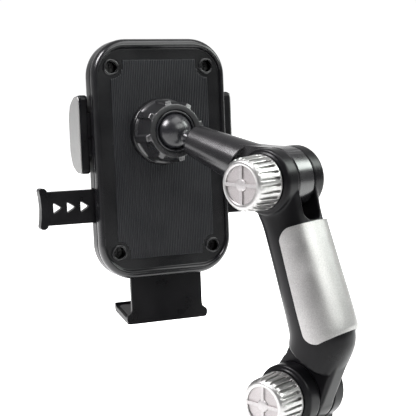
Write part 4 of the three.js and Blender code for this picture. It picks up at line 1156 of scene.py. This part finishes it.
CAMERA_PLACE = (-0.3340, -0.25545, 0.1951)
CAMERA_AZIMUTH, CAMERA_ELEVATION, CAMERA_ROLL = -47.22, 7.97, -0.85
SENSOR_WIDTH, LENS = 36, 86.54

LIGHT_TARGET, LIGHT_DISTANCE = Vector((0, 0.04, 0.15)), 0.9
# Softboxes: name, [right, up, back] seen from the camera, [width, height], watts, tint.
SOFTBOXES = [
    ("left_softbox", (-0.68, 0.67, 0.31), (0.3, 0.4), 12.5, (1, 0.97, 1)),
    ("window", (0.63, 0.49, 0.6), (0.8, 0.38), 6.0, (0.97, 1, 0.975)),
    ("right_softbox", (0.78, 0.55, -0.12), (0.3, 0.4), 4.6, (0.94, 1, 0.96)),
    ("top_softbox", (0.25, 1, 0.3), (0.9, 0.6), 6.2, (1, 1, 1)),
]
FLOOR_NEAR, FLOOR_FAR = -1, 6


def camera():
    """Sets the camera up, and gives the directions to its right, its top and its back."""
    data = bpy.data.cameras.new("camera")
    data.sensor_width = SENSOR_WIDTH
    data.lens = LENS
    data.clip_start, data.clip_end = 0.01, 50
    eye = in_scene("camera", data)
    a, e, roll = (math.radians(v) for v in (CAMERA_AZIMUTH, CAMERA_ELEVATION, CAMERA_ROLL))
    back = Vector((math.sin(a) * math.cos(e), -math.cos(a) * math.cos(e), math.sin(e)))
    right = Vector((math.cos(a), math.sin(a), 0))
    up = back.cross(right)
    tilted_right = right * math.cos(roll) + up * math.sin(roll)
    tilted_up = up * math.cos(roll) - right * math.sin(roll)
    turn = Matrix((tilted_right, tilted_up, back)).transposed().to_4x4()
    eye.matrix_world = Matrix.Translation(CAMERA_PLACE) @ turn
    bpy.context.scene.camera = eye
    return tilted_right, tilted_up, back


def softbox(name, direction, size, power, tint):
    data = bpy.data.lights.new(name, "AREA")
    data.shape = "RECTANGLE"
    data.size, data.size_y = size
    data.energy = power
    data.color = tint
    lamp = in_scene(name, data)
    lamp.location = LIGHT_TARGET + direction.normalized() * LIGHT_DISTANCE
    lamp.rotation_mode = "QUATERNION"
    lamp.rotation_quaternion = direction.to_track_quat("Z", "Y")


def floor(back):
    """A pale floor that glows more the further it lies behind the part, so that it meets the backdrop."""
    near, far = FLOOR_NEAR, FLOOR_FAR
    corners = [(near, near, 0), (far, near, 0), (far, far, 0), (near, far, 0)]
    sheet = new_object("floor", corners, [(0, 1, 2, 3)])
    material, surface = shader("pale_floor", (0.93, 0.93, 0.93), 0.7)
    links = material.node_tree.links
    mottle = ramp(material, noise(material, 6, 2), (0.925, 0.925, 0.925), (0.94, 0.94, 0.94))
    links.new(mottle, surface.inputs["Base Color"])
    surface.inputs["Emission Color"].default_value = (1, 1, 1, 1)
    behind = gradient(material, -back, "Object")
    links.new(ramp(material, behind, 0.0, 0.9, -0.25, 0.2), surface.inputs["Emission Strength"])
    sheet.data.materials.append(material)
    sheet.location.z = -0.0002


def backdrop(back):
    """A white world that is brightest behind the part and dim behind the camera."""
    world = bpy.data.worlds.new("world")
    bpy.context.scene.world = world
    world.use_nodes = True
    nodes, links = world.node_tree.nodes, world.node_tree.links
    background = nodes["Background"]
    towards = gradient(world, back, "Generated")
    total = nodes.new("ShaderNodeMath")
    links.new(ramp(world, towards, 0.52, 0.0, -0.95, -0.8), total.inputs[0])
    links.new(ramp(world, towards, 0.5, 0.13, -0.9, 0.5), total.inputs[1])
    links.new(total.outputs["Value"], background.inputs["Strength"])
    background.inputs["Color"].default_value = (1, 1, 1, 1)


def stage(right, up, back):
    floor(back)
    backdrop(back)
    for name, share, size, power, tint in SOFTBOXES:
        softbox(name, right * share[0] + up * share[1] + back * share[2], size, power, tint)


# ---------------------------------------------------------------- build

upper_arm()
arm_plate()
tube_arm()
ball_stud()
bolt("lower_bolt", LOWER, "turret")
bolt("upper_bolt", ARM, "arm")
knob("lower", LOWER)
knob("upper", UPPER)
ball_liner()
collar_nut()
rear_cover()
ribs()
front_cover()
front_pad()
sliders()
return_spring()
foot()
suction_pad()
base_housing()
turret()
lock_lever()
stage(*camera())
bpy.context.scene.view_settings.view_transform = "Standard"

bpy.context.view_layer.update()
